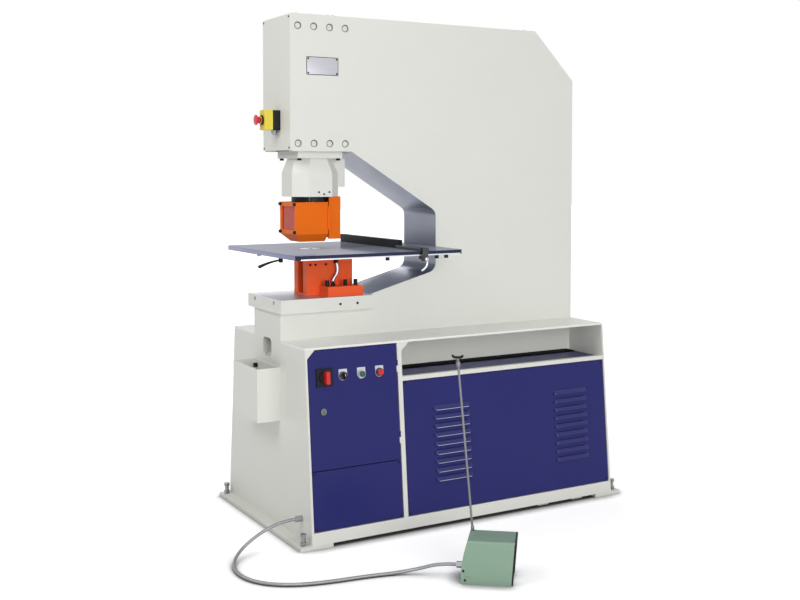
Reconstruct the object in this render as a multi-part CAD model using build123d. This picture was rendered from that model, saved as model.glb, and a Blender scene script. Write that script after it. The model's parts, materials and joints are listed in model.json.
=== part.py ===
from build123d import *
import os
from math import atan2, cos, degrees, hypot, radians, sin, tan

# Single-station hydraulic punching machine with a deep C-frame, in millimetres.
# X runs along the machine with the punch head at -X, -Y is the side with the
# doors and louvres, and Z is up from the floor under the middle of the base.

# Driving dimensions of the base
BASE_LENGTH = 1373.0
FOOT_WIDTH = 800.0
DECK_WIDTH = 676.0
BASE_HEIGHT = 713.0
PLATE_T = 8.0
FLOOR_BAR_T = 14.0
FLOOR_BAR_WIDTH = 129.0
FLOOR_BAR_OVERHANG = 46.0
SILL_HEIGHT = 44.0
SILL_DEPTH = 50.0

# Driving dimensions of the C-frame, stacked from the deck upwards
FRAME_WIDTH = 254.0
SIDE_PLATE_T = 30.0
ARM_RISE = 103.0
BOLSTER_T = 52.0
DIE_HOLDER_HEIGHT = 160.0
TABLE_T = 17.0
DAYLIGHT = 30.0
GUARD_HEIGHT = 153.0
COLLAR_GAP = 1.0
COLLAR_HEIGHT = 20.0
GUIDE_BODY_HEIGHT = 147.0
GUIDE_FLANGE_T = 26.0
HEAD_HEIGHT = 513.0
HEAD_SETBACK = 51.0
HEAD_LENGTH = 250.0
PUNCH_INSET = 132.0
THROAT_DEPTH = 498.0
THROAT_UPPER_DROP = 236.0
THROAT_LOWER_RISE = 81.0
THROAT_FILLET = 40.0
TOP_CHAMFER = 200.0
LINER_T = 10.0
CLOSING_T = 12.0

# Clearances and cutting overrun shared by all pieces
RUN_CLEAR = 0.05
SLIDE_CLEAR = 0.3
PART_CLEAR = 0.4
OVERRUN = 20.0

# Places worked out from the stack
BASE_FRONT = -BASE_LENGTH / 2
BASE_REAR = BASE_LENGTH / 2
FOOT_HALF = FOOT_WIDTH / 2
DECK_HALF = DECK_WIDTH / 2
DECK_UNDER = BASE_HEIGHT - PLATE_T
FRAME_HALF = FRAME_WIDTH / 2
FRAME_INNER = FRAME_HALF - SIDE_PLATE_T
ARM_TOP = BASE_HEIGHT + ARM_RISE
BOLSTER_TOP = ARM_TOP + BOLSTER_T
TABLE_UNDER = BOLSTER_TOP + DIE_HOLDER_HEIGHT
TABLE_TOP = TABLE_UNDER + TABLE_T
GUARD_FOOT = TABLE_TOP + DAYLIGHT
GUARD_TOP = GUARD_FOOT + GUARD_HEIGHT
COLLAR_FOOT = GUARD_TOP + COLLAR_GAP
GUIDE_FOOT = COLLAR_FOOT + COLLAR_HEIGHT
FLANGE_UNDER = GUIDE_FOOT + GUIDE_BODY_HEIGHT
HEAD_UNDER = FLANGE_UNDER + GUIDE_FLANGE_T
FRAME_TOP = HEAD_UNDER + HEAD_HEIGHT
HEAD_FRONT = BASE_FRONT + HEAD_SETBACK
PUNCH_X = HEAD_FRONT + PUNCH_INSET
THROAT_BACK = PUNCH_X + THROAT_DEPTH
HEAD_REAR = HEAD_FRONT + HEAD_LENGTH
FRAME_FRONT = BASE_FRONT + PLATE_T
SIDE_RISE = DECK_UNDER - FLOOR_BAR_T
SIDE_TILT = atan2(FOOT_HALF - DECK_HALF, BASE_HEIGHT - FLOOR_BAR_T)

# Floor fixings
ANCHOR_HOLE_R = 9.0
ANCHOR_INSET_X = 99.0
ANCHOR_INSET_Y = 60.0
LEVEL_R = 8.0
LEVEL_INSET_X = 22.0
LEVEL_INSET_Y = 26.0
LEVEL_HEAD_Z = 46.0
LEVEL_HEAD_T = 11.0
LEVEL_NUT_T = 13.0
LEVEL_HEX_R = 12.0
CROSS_BAR_WIDTH = 50.0

# Near side of the base: doors, panels and rail
PANEL_GAP = 3.0
PANEL_T = 2.0
PANEL_FOLD = 18.0
PANEL_INSET = 2.0
DOOR_BAY = 379.0
PILLAR_X = BASE_FRONT + DOOR_BAY
PILLAR_WIDTH = 18.0
PILLAR_DEPTH = 40.0
PARTITION_T = 6.0
GUSSET_REACH = 32.0
LANDING_WIDTH = 14.0
LANDING_T = 6.0
DOOR_FOOT_Z = 274.0
DOOR_CORNER = 30.0
RAIL_DROP = 151.0
RAIL_Z = BASE_HEIGHT - RAIL_DROP
RAIL_T = 16.0
RAIL_DEPTH = 34.0
FAR_PANEL_T = 3.0
LOUVRE_WIDTH = 146.0
LOUVRE_HEIGHT = 17.0
LOUVRE_PROUD = 9.0
LOUVRE_PITCH = 33.5
LOUVRE_FOOT_Z = 172.0
LOUVRE_RAIL_GAP = 72.0
LOUVRE_COUNT = int((RAIL_Z - LOUVRE_RAIL_GAP - LOUVRE_FOOT_Z) / LOUVRE_PITCH)
LOUVRE_PILLAR_GAP = 139.0
LOUVRE_REAR_GAP = 118.5
LOUVRE_LEFTS = (
    PILLAR_X + PILLAR_WIDTH + LOUVRE_PILLAR_GAP,
    BASE_REAR - LOUVRE_REAR_GAP - LOUVRE_WIDTH,
)
SCREW_R = 3.5
SCREW_HEAD = 2.0
SCREW_INSET = 8.0

# Door furniture
CONTROL_DROP = 109.0
CONTROL_Z = BASE_HEIGHT - CONTROL_DROP
ISOLATOR_INSET = 73.5
ISOLATOR_X = BASE_FRONT + ISOLATOR_INSET
ISOLATOR_SIZE = 65.0
ISOLATOR_T = 8.0
HANDLE_R = 22.0
HANDLE_HUB_T = 8.0
HANDLE_BAR_WIDTH = 15.0
HANDLE_BAR_LENGTH = 46.0
HANDLE_BAR_T = 20.0
CONTROL_PITCH = 75.5
SELECTOR_X = ISOLATOR_X + CONTROL_PITCH
START_X = SELECTOR_X + CONTROL_PITCH
STOP_X = START_X + CONTROL_PITCH
LEGEND_WIDTH = 34.0
LEGEND_RISE = 24.0
LEGEND_T = 1.5
BEZEL_R = 15.0
BEZEL_T = 7.0
BUTTON_R = 11.0
BUTTON_PROUD = 6.0
BUTTON_TRAVEL = 5.0
LOCK_INSET = 64.5
LOCK_X = BASE_FRONT + LOCK_INSET
LOCK_DROP = 122.0
LOCK_Z = CONTROL_Z - LOCK_DROP
LOCK_R = 12.0
LOCK_T = 5.0
LOCK_SLOT_WIDTH = 3.0
HINGE_BARREL_R = 3.0
HINGE_PIN_R = 1.5
HINGE_HALF = 22.0
HINGE_INSET = 60.0

# Electrical plate and hydraulic unit inside the base
GEAR_PLATE_T = 3.0
GEAR_MARGIN = 40.0
GEAR_WIDTH_SHARES = (0.21, 0.16, 0.16, 0.31)
GEAR_HEIGHT = 80.0
GEAR_DEPTH = 70.0
GEAR_GAP_SHARE = 0.03
TANK_RAIL_DROP = 4.0
TANK_TOP_Z = RAIL_Z + RAIL_T - TANK_RAIL_DROP
TANK_CLEAR = 40.0
TANK_WALL_GAP = 10.0
TANK_CORNER = 12.0
MOTOR_INSET = 246.5
MOTOR_X = BASE_REAR - MOTOR_INSET
MOTOR_R = 82.0
MOTOR_LENGTH = 260.0
MOTOR_Z = 116.0
MOTOR_FRAME_GAP = 5.0
MOTOR_Y = -FRAME_HALF - MOTOR_FRAME_GAP - MOTOR_R
MOTOR_FOOT_HALF = 60.0
MOTOR_FOOT_WIDTH = 40.0
MOTOR_FOOT_SPREAD = 170.0
PUMP_R = 45.0
PUMP_LENGTH = 120.0
HOSE_R = 9.0
HOSE_BEND = 60.0
VALVE_SIZE = 90.0
VALVE_DEPTH = 130.0
VALVE_HEIGHT = 110.0
VALVE_REACH = 380.0
VALVE_X = MOTOR_X - VALVE_REACH
VALVE_Z = 240.0
RISER_LENGTH = 36.0
TANK_FOOT_Z = VALVE_Z + VALVE_HEIGHT + RISER_LENGTH

# Head cover, head bolts and emergency stop
COVER_T = 8.0
COVER_WALL = 2.0
COVER_MARGIN = 4.0
COVER_SCREW_INSET = 9.0
HEAD_BOLT_R = 13.0
HEAD_BOLT_SEAT_R = 15.0
HEAD_BOLT_SEAT = 7.0
HEAD_BOLT_PROUD = 1.0
HEAD_BOLT_EDGE_X = 25.0
HEAD_BOLT_PITCH = 66.0
HEAD_BOLT_COUNT = 4
HEAD_BOLT_EDGE_TOP = 45.0
HEAD_BOLT_EDGE_UNDER = 29.0
STOP_BOX_WIDTH = 46.0
STOP_BOX_HEIGHT = 76.0
STOP_BOX_Y = -15.0
STOP_BOX_RISE = 118.0
STOP_BOX_Z = HEAD_UNDER + STOP_BOX_RISE
STOP_REAR_DEPTH = 31.0
STOP_FRONT_DEPTH = 34.0
STOP_COLLAR_R = 15.0
STOP_COLLAR_T = 7.0
STOP_STEM_R = 8.0
STOP_CAP_R = 20.0
STOP_CAP_T = 15.0
STOP_CAP_GAP = 5.0
STOP_CAP_DOME = 4.0
STOP_TRAVEL = 5.0

# Cylinder, guide, ram and punch
ROD_R = 38.0
PISTON_R = 70.0
PISTON_HEIGHT = 50.0
STROKE = 60.0
STROKE_SPARE = 10.0
CYLINDER_HALF = 100.0
CYLINDER_HEIGHT = 420.0
GLAND_HEIGHT = 60.0
GUIDE_FLANGE = 188.0
GUIDE_FLATS = 196.0
GUIDE_NECK_FLATS = 160.0
GUIDE_NECK = 56.0
GUIDE_CORNER = 50.0
GUIDE_NECK_CORNER = 46.0
GUIDE_BOSS_REACH = 31.0
GUIDE_BOSS_HALF = 46.0
GUIDE_BOSS_HEIGHT = 110.0
COLLAR_R = 72.0
COLLAR_BORE_CLEAR = 2.0
COLLAR_SLIT = 6.0
NUT_R = 36.0
NUT_HEIGHT = 66.0
NUT_DROP = 12.0
SHANK_R = 16.0
SHANK_LENGTH = 40.0
TIP_R = 10.0
TIP_REST = 3.0

# Guard box round the punch and the bracket it hangs on
GUARD_WALL = 5.0
GUARD_FRONT_REACH = 94.0
GUARD_REAR_REACH = 42.0
GUARD_HALF = 75.0
GUARD_TAPER = 30.0
GUARD_SLOT_HALF = 28.0
WINDOW_T = 4.0
WINDOW_EDGE = 16.0
WINDOW_LAP = 8.0
SEAM = 4.0
BRACKET_DEPTH = 49.0
BRACKET_WALL = 10.0
BRACKET_LIFT = 10.0
GUARD_HINGE_R = 5.0
GUARD_PIN_R = 2.5
GUARD_HINGE_OUT = 3.0
GUARD_HINGE_LENGTH = 25.0
GUARD_HINGE_INSET = 16.0

# Bolster, die holder and die
BOLSTER_OVERHANG = 12.0
BOLSTER_LENGTH = 393.0
BOLSTER_HALF = 160.0
BOLSTER_HOLE_Y = 91.0
BOLSTER_HOLE_R = 8.5
BOLSTER_HOLE_DROP = 16.0
BOLSTER_HOLE_DEPTH = 45.0
HOLDER_FRONT_REACH = 42.0
HOLDER_REAR_REACH = 155.0
HOLDER_HALF = 58.0
HOLDER_FOOT = 6.0
HOLDER_LIP = 8.0
HOLDER_LIP_T = 12.0
HOLDER_SLOT_HALF = 25.0
HOLDER_SLOT_DEPTH = 105.0
HOLDER_SLOT_TOP = 30.0
HOLDER_FLANGE_REACH = 77.0
HOLDER_FLANGE_HEIGHT = 37.0
HOLDER_FLANGE_INSET = 54.0
SLUG_HOLE_R = 26.0
DIE_R = 40.0
DIE_HEIGHT = 36.0
DIE_BORE_CLEAR = 0.6
DIE_RELIEF_R = 14.0

# Work table, back gauge and clamp levers
TABLE_FRONT_REACH = 213.0
TABLE_BACK_GAP = 5.0
TABLE_HALF = 342.0
TABLE_CORNER = 16.0
TABLE_HOLE_CLEAR = 1.0
GAUGE_GAP = 0.3
GAUGE_BACK = 184.5
GAUGE_X = THROAT_BACK - GAUGE_BACK
GAUGE_BAR_T = 20.0
GAUGE_BAR_HEIGHT = 32.0
GAUGE_ARM = 182.0
GAUGE_NEAR_Y = -TABLE_HALF + GAUGE_ARM
GAUGE_FAR_INSET = 5.0
GAUGE_FAR_Y = TABLE_HALF - GAUGE_FAR_INSET
CARRIAGE_WIDTH = 42.0
CARRIAGE_HEIGHT = 12.0
CARRIAGE_WALL = 10.0
CARRIAGE_CLAMP = 24.0
CARRIAGE_DROP = 18.0
CARRIAGE_JAW = 20.0
CARRIAGE_JAW_T = 12.0
CARRIAGE_JAW_GAP = 2.0
LEVER_R = 4.0
LEVER_HUB_R = 8.0
LEVER_HUB_T = 14.0
GAUGE_LEVER_LENGTH = 46.0
LEVER_BEND_SHARE = 0.45
LEVER_LEAN_SHARE = 0.55
DIE_LEVER_REACH = 80.0
DIE_LEVER_X = PUNCH_X + DIE_LEVER_REACH
DIE_LEVER_DROP = 20.0
DIE_LEVER_LENGTH = 80.0
DIE_LEVER_LEAN = 0.4
TABLE_LEVER_SIDE = 200.0
TABLE_LEVER_Y = -TABLE_HALF + TABLE_LEVER_SIDE
TABLE_LEVER_INSET = 26.0
TABLE_LEVER_LENGTH = 64.0
TABLE_LEVER_DIP = 24.0
TABLE_LEVER_HUB_R = 8.0
TABLE_LEVER_HUB_T = 20.0

# Slug chute and bin on the front end
CHUTE_HALF = 40.0
CHUTE_DROP = 75.0
CHUTE_FOOT_Z = BASE_HEIGHT - CHUTE_DROP
CHUTE_HEIGHT = 72.0
CHUTE_CORNER = 12.0
CHUTE_TONGUE_T = 4.0
CHUTE_TONGUE_LENGTH = 250.0
CHUTE_TONGUE_RISE = 90.0
BIN_DEPTH = 92.0
BIN_HALF = 120.0
BIN_HEIGHT = 201.0
BIN_CHUTE_GAP = 26.0
BIN_FOOT_Z = CHUTE_FOOT_Z - BIN_CHUTE_GAP - BIN_HEIGHT
BIN_WALL = 3.0
BIN_KNOB_R = 9.0
BIN_KNOB_T = 12.0
BIN_KNOB_INSET = 24.0
BIN_KNOB_Y = BIN_HALF - BIN_KNOB_INSET
BIN_KNOB_DROP = 22.0
BIN_KNOB_Z = BIN_FOOT_Z + BIN_HEIGHT - BIN_KNOB_DROP

# Cap screws
CAP_R = 8.0
CAP_HEAD = 8.0
GUIDE_SCREW_INSET = 12.0
FLANGE_SCREW_INSET = 14.0
FLANGE_SCREW_HEAD = 22.0
FLANGE_SCREW_SHARES = (0.0, 0.64, 1.0)
TABLE_SCREW_BACKS = (314.5, 97.5, 54.5)
TABLE_SCREW_INSET = 42.0
TABLE_FRONT_SCREW_Y = 64.0
COLLAR_SCREW_PITCH = 22.0
COLLAR_SCREW_SHIFT = 13.5
COLLAR_SCREW_DIP = 8.0
COLLAR_SCREW_Z = 18.0
TOP_SCREW_FRONTS = (23.5, 155.5, 175.5)
TOP_SCREW_BACK = 46.5
TOP_SCREW_R = 6.0
TOP_SCREW_HEAD = 5.0

# Foot switch, its carry rod and its conduit
SWITCH_REAR_X = -366.0
SWITCH_REAR_Y = -881.0
SWITCH_TURN = -38.7
SWITCH_LENGTH = 178.0
SWITCH_WIDTH = 123.0
SWITCH_HEIGHT = 143.0
SWITCH_WALL = 4.0
SWITCH_TOP_EDGE = 6.0
SWITCH_NOSE_CUT = 11.0
SWITCH_REAR_LEAN = 22.0
SWITCH_REAR_BELLY = 6.0
PEDAL_LENGTH = 104.0
PEDAL_T = 8.0
PEDAL_SIDE_GAP = 8.0
PEDAL_Z = 44.0
PEDAL_SLOPE = 10.0
PEDAL_PIN_R = 4.0
PEDAL_PIN_X = 26.0
ROD_HANDLE_R = 4.0
ROD_TOP_Z = 727.0
ROD_LEAN = 52.0
ROD_INSET_X = 7.0
ROD_INSET_Y = 14.0
ROD_CROSS = 38.0
ROD_FERRULE = 18.0
CONDUIT_R = 6.0
GLAND_R = 11.0
GLAND_LENGTH = 30.0
SWITCH_GLAND_LENGTH = 24.0
SWITCH_GLAND_Z = 42.0
CONDUIT_EXIT_INSET = 90.0
CONDUIT_EXIT_Y = -FOOT_HALF + CONDUIT_EXIT_INSET
CONDUIT_EXIT_Z = 92.0
CONDUIT_FLOOR_Z = 6.6
CONDUIT_LEAD = 56.0
ARC_SHARE = 0.45

os.makedirs("parts", exist_ok=True)


def save(name, shape):
    """Write one node's solids as a STEP file."""
    export_step(shape, f"parts/{name}.step")


def block(x0, x1, y0, y1, z0, z1):
    """A box between two corners."""
    centre = ((x0 + x1) / 2, (y0 + y1) / 2, (z0 + z1) / 2)
    return Pos(*centre) * Box(x1 - x0, y1 - y0, z1 - z0)


def rod(start, end, radius):
    """A round bar from one point to another."""
    axis = Vector(*end) - Vector(*start)
    plane = Plane(origin=start, z_dir=axis)
    return extrude(plane * Circle(radius), axis.length)


def hex_bar(start, end, radius):
    """A hexagonal bar from one point to another."""
    axis = Vector(*end) - Vector(*start)
    plane = Plane(origin=start, z_dir=axis)
    return extrude(plane * RegularPolygon(radius, 6), axis.length)


def across_y(points, y0, y1):
    """A side outline of X and Z points, carried across from y0 to y1."""
    outline = Polyline(*[(x, y0, z) for x, z in points], close=True)
    return extrude(make_face(outline), y1 - y0, dir=(0, 1, 0))


def along_x(points, x0, x1):
    """An end outline of Y and Z points, carried along from x0 to x1."""
    outline = Polyline(*[(x0, y, z) for y, z in points], close=True)
    return extrude(make_face(outline), x1 - x0, dir=(1, 0, 0))


def meet(p, d, q, e):
    """The point where a line through p along d meets one through q along e."""
    cross = d[0] * e[1] - d[1] * e[0]
    t = ((q[0] - p[0]) * e[1] - (q[1] - p[1]) * e[0]) / cross
    return (p[0] + t * d[0], p[1] + t * d[1])


def heading(p, q):
    """The unit direction from p to q in the side plane."""
    length = hypot(q[0] - p[0], q[1] - p[1])
    return ((q[0] - p[0]) / length, (q[1] - p[1]) / length)


def to_left(p, d, shift):
    """The point p moved square to the direction d, to its left."""
    return (p[0] - d[1] * shift, p[1] + d[0] * shift)


def side_half(z):
    """Half the base's width over its tapered sides, at height z."""
    return FOOT_HALF - (z - FLOOR_BAR_T) * tan(SIDE_TILT)


def slope(z):
    """Distance up the tapered side from the floor bars to height z."""
    return (z - FLOOR_BAR_T) / cos(SIDE_TILT)


# The tapered near side: local X along the machine, Y up the slope, Z outwards
near_side = Plane(
    origin=(0, -FOOT_HALF, FLOOR_BAR_T),
    x_dir=(1, 0, 0),
    z_dir=(0, -cos(SIDE_TILT), sin(SIDE_TILT)),
)
far_side = Plane(
    origin=(0, FOOT_HALF, FLOOR_BAR_T),
    x_dir=(-1, 0, 0),
    z_dir=(0, cos(SIDE_TILT), sin(SIDE_TILT)),
)


def on_side(shape):
    """A shape drawn flat, laid on the tapered near side."""
    return near_side.location * shape


# Base: floor frame with end bars, sills and cross bars
def floor_frame():
    bar_out = BASE_REAR + FLOOR_BAR_OVERHANG
    frame = None
    for end in (-1, 1):
        inner = end * (bar_out - FLOOR_BAR_WIDTH)
        low, high = sorted((end * bar_out, inner))
        bar = block(low, high, -FOOT_HALF, FOOT_HALF, 0, FLOOR_BAR_T)
        for side in (-1, 1):
            anchor = (end * (bar_out - ANCHOR_INSET_X), side * (FOOT_HALF - ANCHOR_INSET_Y), 0)
            level = (end * (bar_out - LEVEL_INSET_X), side * (FOOT_HALF - LEVEL_INSET_Y), 0)
            bar -= Pos(*anchor) * Cylinder(ANCHOR_HOLE_R, FLOOR_BAR_T * 2 + OVERRUN)
            bar -= Pos(*level) * Cylinder(LEVEL_R + SLIDE_CLEAR, FLOOR_BAR_T * 2 + OVERRUN)
        frame = bar if frame is None else frame + bar
    inner_half = BASE_REAR - PLATE_T
    for plane in (near_side, far_side):
        rail = block(-inner_half, inner_half, -OVERRUN, slope(FLOOR_BAR_T + SILL_HEIGHT), -SILL_DEPTH, 0)
        cut = block(-BASE_LENGTH, BASE_LENGTH, -FOOT_WIDTH, FOOT_WIDTH, -SILL_DEPTH - OVERRUN, FLOOR_BAR_T)
        frame += plane.location * rail - cut
    reach = FOOT_HALF - SILL_DEPTH / 2
    for x in (MOTOR_X - MOTOR_FOOT_SPREAD / 2, MOTOR_X + MOTOR_FOOT_SPREAD / 2):
        half = CROSS_BAR_WIDTH / 2
        frame += block(x - half, x + half, -reach, reach, 0, FLOOR_BAR_T)
    return frame


def levelling_screws():
    out_x = BASE_REAR + FLOOR_BAR_OVERHANG - LEVEL_INSET_X
    out_y = FOOT_HALF - LEVEL_INSET_Y
    solids = []
    for x in (-out_x, out_x):
        for y in (-out_y, out_y):
            screw = rod((x, y, 0), (x, y, LEVEL_HEAD_Z), LEVEL_R)
            top = LEVEL_HEAD_Z + LEVEL_HEAD_T
            screw += hex_bar((x, y, LEVEL_HEAD_Z), (x, y, top), LEVEL_HEX_R)
            nut = hex_bar((x, y, FLOOR_BAR_T), (x, y, FLOOR_BAR_T + LEVEL_NUT_T), LEVEL_HEX_R)
            nut -= rod((x, y, 0), (x, y, top), LEVEL_R + RUN_CLEAR)
            solids += [screw, nut]
    return Compound(children=solids)


def end_outline():
    """The tapered end of the base in Y and Z, from the floor bars to the deck."""
    foot = side_half(FLOOR_BAR_T)
    top = side_half(DECK_UNDER)
    return [(-foot, FLOOR_BAR_T), (foot, FLOOR_BAR_T), (top, DECK_UNDER), (-top, DECK_UNDER)]


def front_plate():
    plate = along_x(end_outline(), BASE_FRONT, FRAME_FRONT)
    plate += block(BASE_FRONT, FRAME_FRONT, -FRAME_HALF, FRAME_HALF, DECK_UNDER, ARM_TOP)
    mouth_top = CHUTE_FOOT_Z + CHUTE_HEIGHT
    mouth = [
        (-CHUTE_HALF + CHUTE_CORNER, CHUTE_FOOT_Z),
        (CHUTE_HALF - CHUTE_CORNER, CHUTE_FOOT_Z),
        (CHUTE_HALF, CHUTE_FOOT_Z + CHUTE_CORNER),
        (CHUTE_HALF, mouth_top - CHUTE_CORNER),
        (CHUTE_HALF - CHUTE_CORNER, mouth_top),
        (-CHUTE_HALF + CHUTE_CORNER, mouth_top),
        (-CHUTE_HALF, mouth_top - CHUTE_CORNER),
        (-CHUTE_HALF, CHUTE_FOOT_Z + CHUTE_CORNER),
    ]
    plate -= along_x(mouth, BASE_FRONT - OVERRUN, FRAME_FRONT + OVERRUN)
    head = slope(DECK_UNDER)
    reach = DOOR_CORNER + PANEL_GAP / 2
    corner = [(FRAME_FRONT, head), (FRAME_FRONT + reach, head), (FRAME_FRONT, head - reach)]
    face = make_face(Polyline(*[(x, s, 0) for x, s in corner], close=True))
    plate += on_side(extrude(face, -LANDING_T))
    tongue_end = (FRAME_FRONT + CHUTE_TONGUE_LENGTH, CHUTE_FOOT_Z + CHUTE_TONGUE_RISE)
    tongue = [
        (FRAME_FRONT, CHUTE_FOOT_Z),
        tongue_end,
        (tongue_end[0], tongue_end[1] - CHUTE_TONGUE_T),
        (FRAME_FRONT, CHUTE_FOOT_Z - CHUTE_TONGUE_T),
    ]
    return plate + across_y(tongue, -FRAME_INNER, FRAME_INNER)


def rear_plate():
    return along_x(end_outline(), BASE_REAR - PLATE_T, BASE_REAR)


def deck():
    strips = []
    for side in (-1, 1):
        low, high = sorted((side * DECK_HALF, side * FRAME_HALF))
        strips.append(block(BASE_FRONT, BASE_REAR, low, high, DECK_UNDER, BASE_HEIGHT))
    return Compound(children=strips)


def hinge_cut(grow, foot, head):
    """The barrel of the door hinge between two heights, grown by a clearance."""
    x = PILLAR_X - PANEL_GAP / 2
    return Pos(x, (foot + head) / 2, -PANEL_INSET) * (
        Rot(90, 0, 0) * Cylinder(HINGE_BARREL_R + grow, head - foot)
    )


def hinge_spans():
    """Feet of the two door hinges, up the slope."""
    foot = slope(DOOR_FOOT_Z) + HINGE_INSET
    head = slope(DECK_UNDER) - PANEL_GAP - HINGE_INSET - 2 * HINGE_HALF
    return (foot, head)


def partition():
    right = PILLAR_X + PILLAR_WIDTH
    foot = slope(FLOOR_BAR_T + SILL_HEIGHT)
    head = slope(DECK_UNDER)
    post = block(PILLAR_X, right, foot, head, -PILLAR_DEPTH, 0)
    gusset = [(right, head), (right + GUSSET_REACH, head), (right, head - GUSSET_REACH)]
    flare = extrude(make_face(Polyline(*[(x, s, 0) for x, s in gusset], close=True)), -PANEL_FOLD)
    post += flare
    for span in hinge_spans():
        post -= hinge_cut(PART_CLEAR, span + HINGE_HALF, span + 2 * HINGE_HALF + PART_CLEAR)
    back = -PANEL_INSET - PANEL_FOLD
    post += block(right, right + LANDING_WIDTH, foot, slope(RAIL_Z), back - LANDING_T, back)
    post += block(PILLAR_X - LANDING_WIDTH, PILLAR_X, foot, slope(DOOR_FOOT_Z) - PANEL_GAP,
                  back - LANDING_T, back)
    post = on_side(post)
    under = block(-BASE_LENGTH, BASE_LENGTH, -FOOT_WIDTH, 0, DECK_UNDER, BASE_HEIGHT)
    post -= under
    inset = PILLAR_DEPTH - PANEL_GAP
    web = [
        (-FRAME_HALF, FLOOR_BAR_T + SILL_HEIGHT),
        (-FRAME_HALF, DECK_UNDER),
        (-side_half(DECK_UNDER) + inset, DECK_UNDER),
        (-side_half(FLOOR_BAR_T + SILL_HEIGHT) + inset, FLOOR_BAR_T + SILL_HEIGHT),
    ]
    middle = PILLAR_X + PILLAR_WIDTH / 2
    return post + along_x(web, middle - PARTITION_T / 2, middle + PARTITION_T / 2)


def far_panel():
    half = BASE_REAR - PLATE_T
    sheet = block(-half, half, slope(FLOOR_BAR_T + SILL_HEIGHT), slope(DECK_UNDER), -FAR_PANEL_T, 0)
    panel = far_side.location * sheet
    return panel - block(-BASE_LENGTH, BASE_LENGTH, 0, FOOT_WIDTH, DECK_UNDER, BASE_HEIGHT)


def side_rail():
    left = PILLAR_X + PILLAR_WIDTH
    bar = block(left, BASE_REAR - PLATE_T, slope(RAIL_Z), slope(RAIL_Z + RAIL_T), -RAIL_DEPTH, 0)
    return on_side(bar)


# Blue doors and panels on the near side
def tray(outline, openings=()):
    """A sheet with its edge folded inwards, drawn flat on the near side."""
    face = make_face(Polyline(*[(x, s, -PANEL_INSET) for x, s in outline], close=True))
    skin = extrude(face, -PANEL_FOLD)
    hollow = extrude(offset(face, -PANEL_T, kind=Kind.INTERSECTION), -PANEL_FOLD - OVERRUN)
    pan = skin - Pos(0, 0, -PANEL_T) * hollow
    for hole in openings:
        pan -= hole
    return pan


def bore(x, z, radius):
    """A round hole through the near side at a height."""
    return Pos(x, slope(z), 0) * Cylinder(radius, PANEL_FOLD + OVERRUN)


def electrical_door():
    left = FRAME_FRONT + PANEL_GAP
    right = PILLAR_X - PANEL_GAP
    foot = slope(DOOR_FOOT_Z)
    head = slope(DECK_UNDER) - PANEL_GAP
    outline = [
        (left, foot),
        (right, foot),
        (right, head),
        (left + DOOR_CORNER, head),
        (left, head - DOOR_CORNER),
    ]
    buttons = [bore(x, CONTROL_Z, BUTTON_R + SLIDE_CLEAR) for x in (START_X, STOP_X)]
    door = tray(outline, buttons)
    for span in hinge_spans():
        middle = span + HINGE_HALF
        door -= hinge_cut(PART_CLEAR, span - PART_CLEAR, span + 2 * HINGE_HALF)
        knuckle = hinge_cut(0, middle + PART_CLEAR, span + 2 * HINGE_HALF)
        leaf = block(
            right - PANEL_FOLD, right + PANEL_GAP / 2,
            middle + PART_CLEAR, span + 2 * HINGE_HALF,
            -PANEL_INSET - PANEL_T, -PANEL_INSET,
        )
        pin = Pos(right + PANEL_GAP / 2, middle, -PANEL_INSET) * (
            Rot(90, 0, 0) * Cylinder(HINGE_PIN_R + RUN_CLEAR, HINGE_HALF * 4)
        )
        door += (knuckle + leaf) - pin
    return on_side(door)


def door_hinges():
    solids = []
    for span in hinge_spans():
        middle = span + HINGE_HALF
        x = PILLAR_X - PANEL_GAP / 2
        pin = Pos(x, middle, -PANEL_INSET) * (Rot(90, 0, 0) * Cylinder(HINGE_PIN_R, HINGE_HALF * 2))
        post = block(PILLAR_X, PILLAR_X + PILLAR_WIDTH, span - OVERRUN, middle, -PILLAR_DEPTH, 0)
        solids.append(on_side(hinge_cut(0, span, middle) + pin - post))
    return Compound(children=solids)


def lower_panel():
    left = FRAME_FRONT + PANEL_GAP
    right = PILLAR_X - PANEL_GAP
    foot = slope(FLOOR_BAR_T + SILL_HEIGHT) + PANEL_GAP
    head = slope(DOOR_FOOT_Z) - PANEL_GAP
    return on_side(tray([(left, foot), (right, foot), (right, head), (left, head)]))


def louvre():
    """One pressed louvre: a hood over a slot, open downwards, closed at its cheeks."""
    half = LOUVRE_WIDTH / 2
    hood = [(0, 0), (LOUVRE_HEIGHT, 0), (LOUVRE_HEIGHT - PANEL_T, PANEL_T), (0, LOUVRE_PROUD)]
    inside = [(-OVERRUN, 0), (LOUVRE_HEIGHT - 2 * PANEL_T, 0), (0, LOUVRE_PROUD - PANEL_T)]
    inside.append((-OVERRUN, LOUVRE_PROUD - PANEL_T))
    shapes = []
    for outline, reach in ((hood, half), (inside, half - PANEL_T)):
        face = make_face(Polyline(*[(-reach, s, n - PANEL_INSET) for s, n in outline], close=True))
        shapes.append(extrude(face, 2 * reach, dir=(1, 0, 0)))
    slot = block(
        -half + PANEL_T, half - PANEL_T, 0, LOUVRE_HEIGHT - 2 * PANEL_T,
        -PANEL_INSET - PANEL_T - OVERRUN, -PANEL_INSET,
    )
    return shapes[0] - shapes[1], slot


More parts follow.
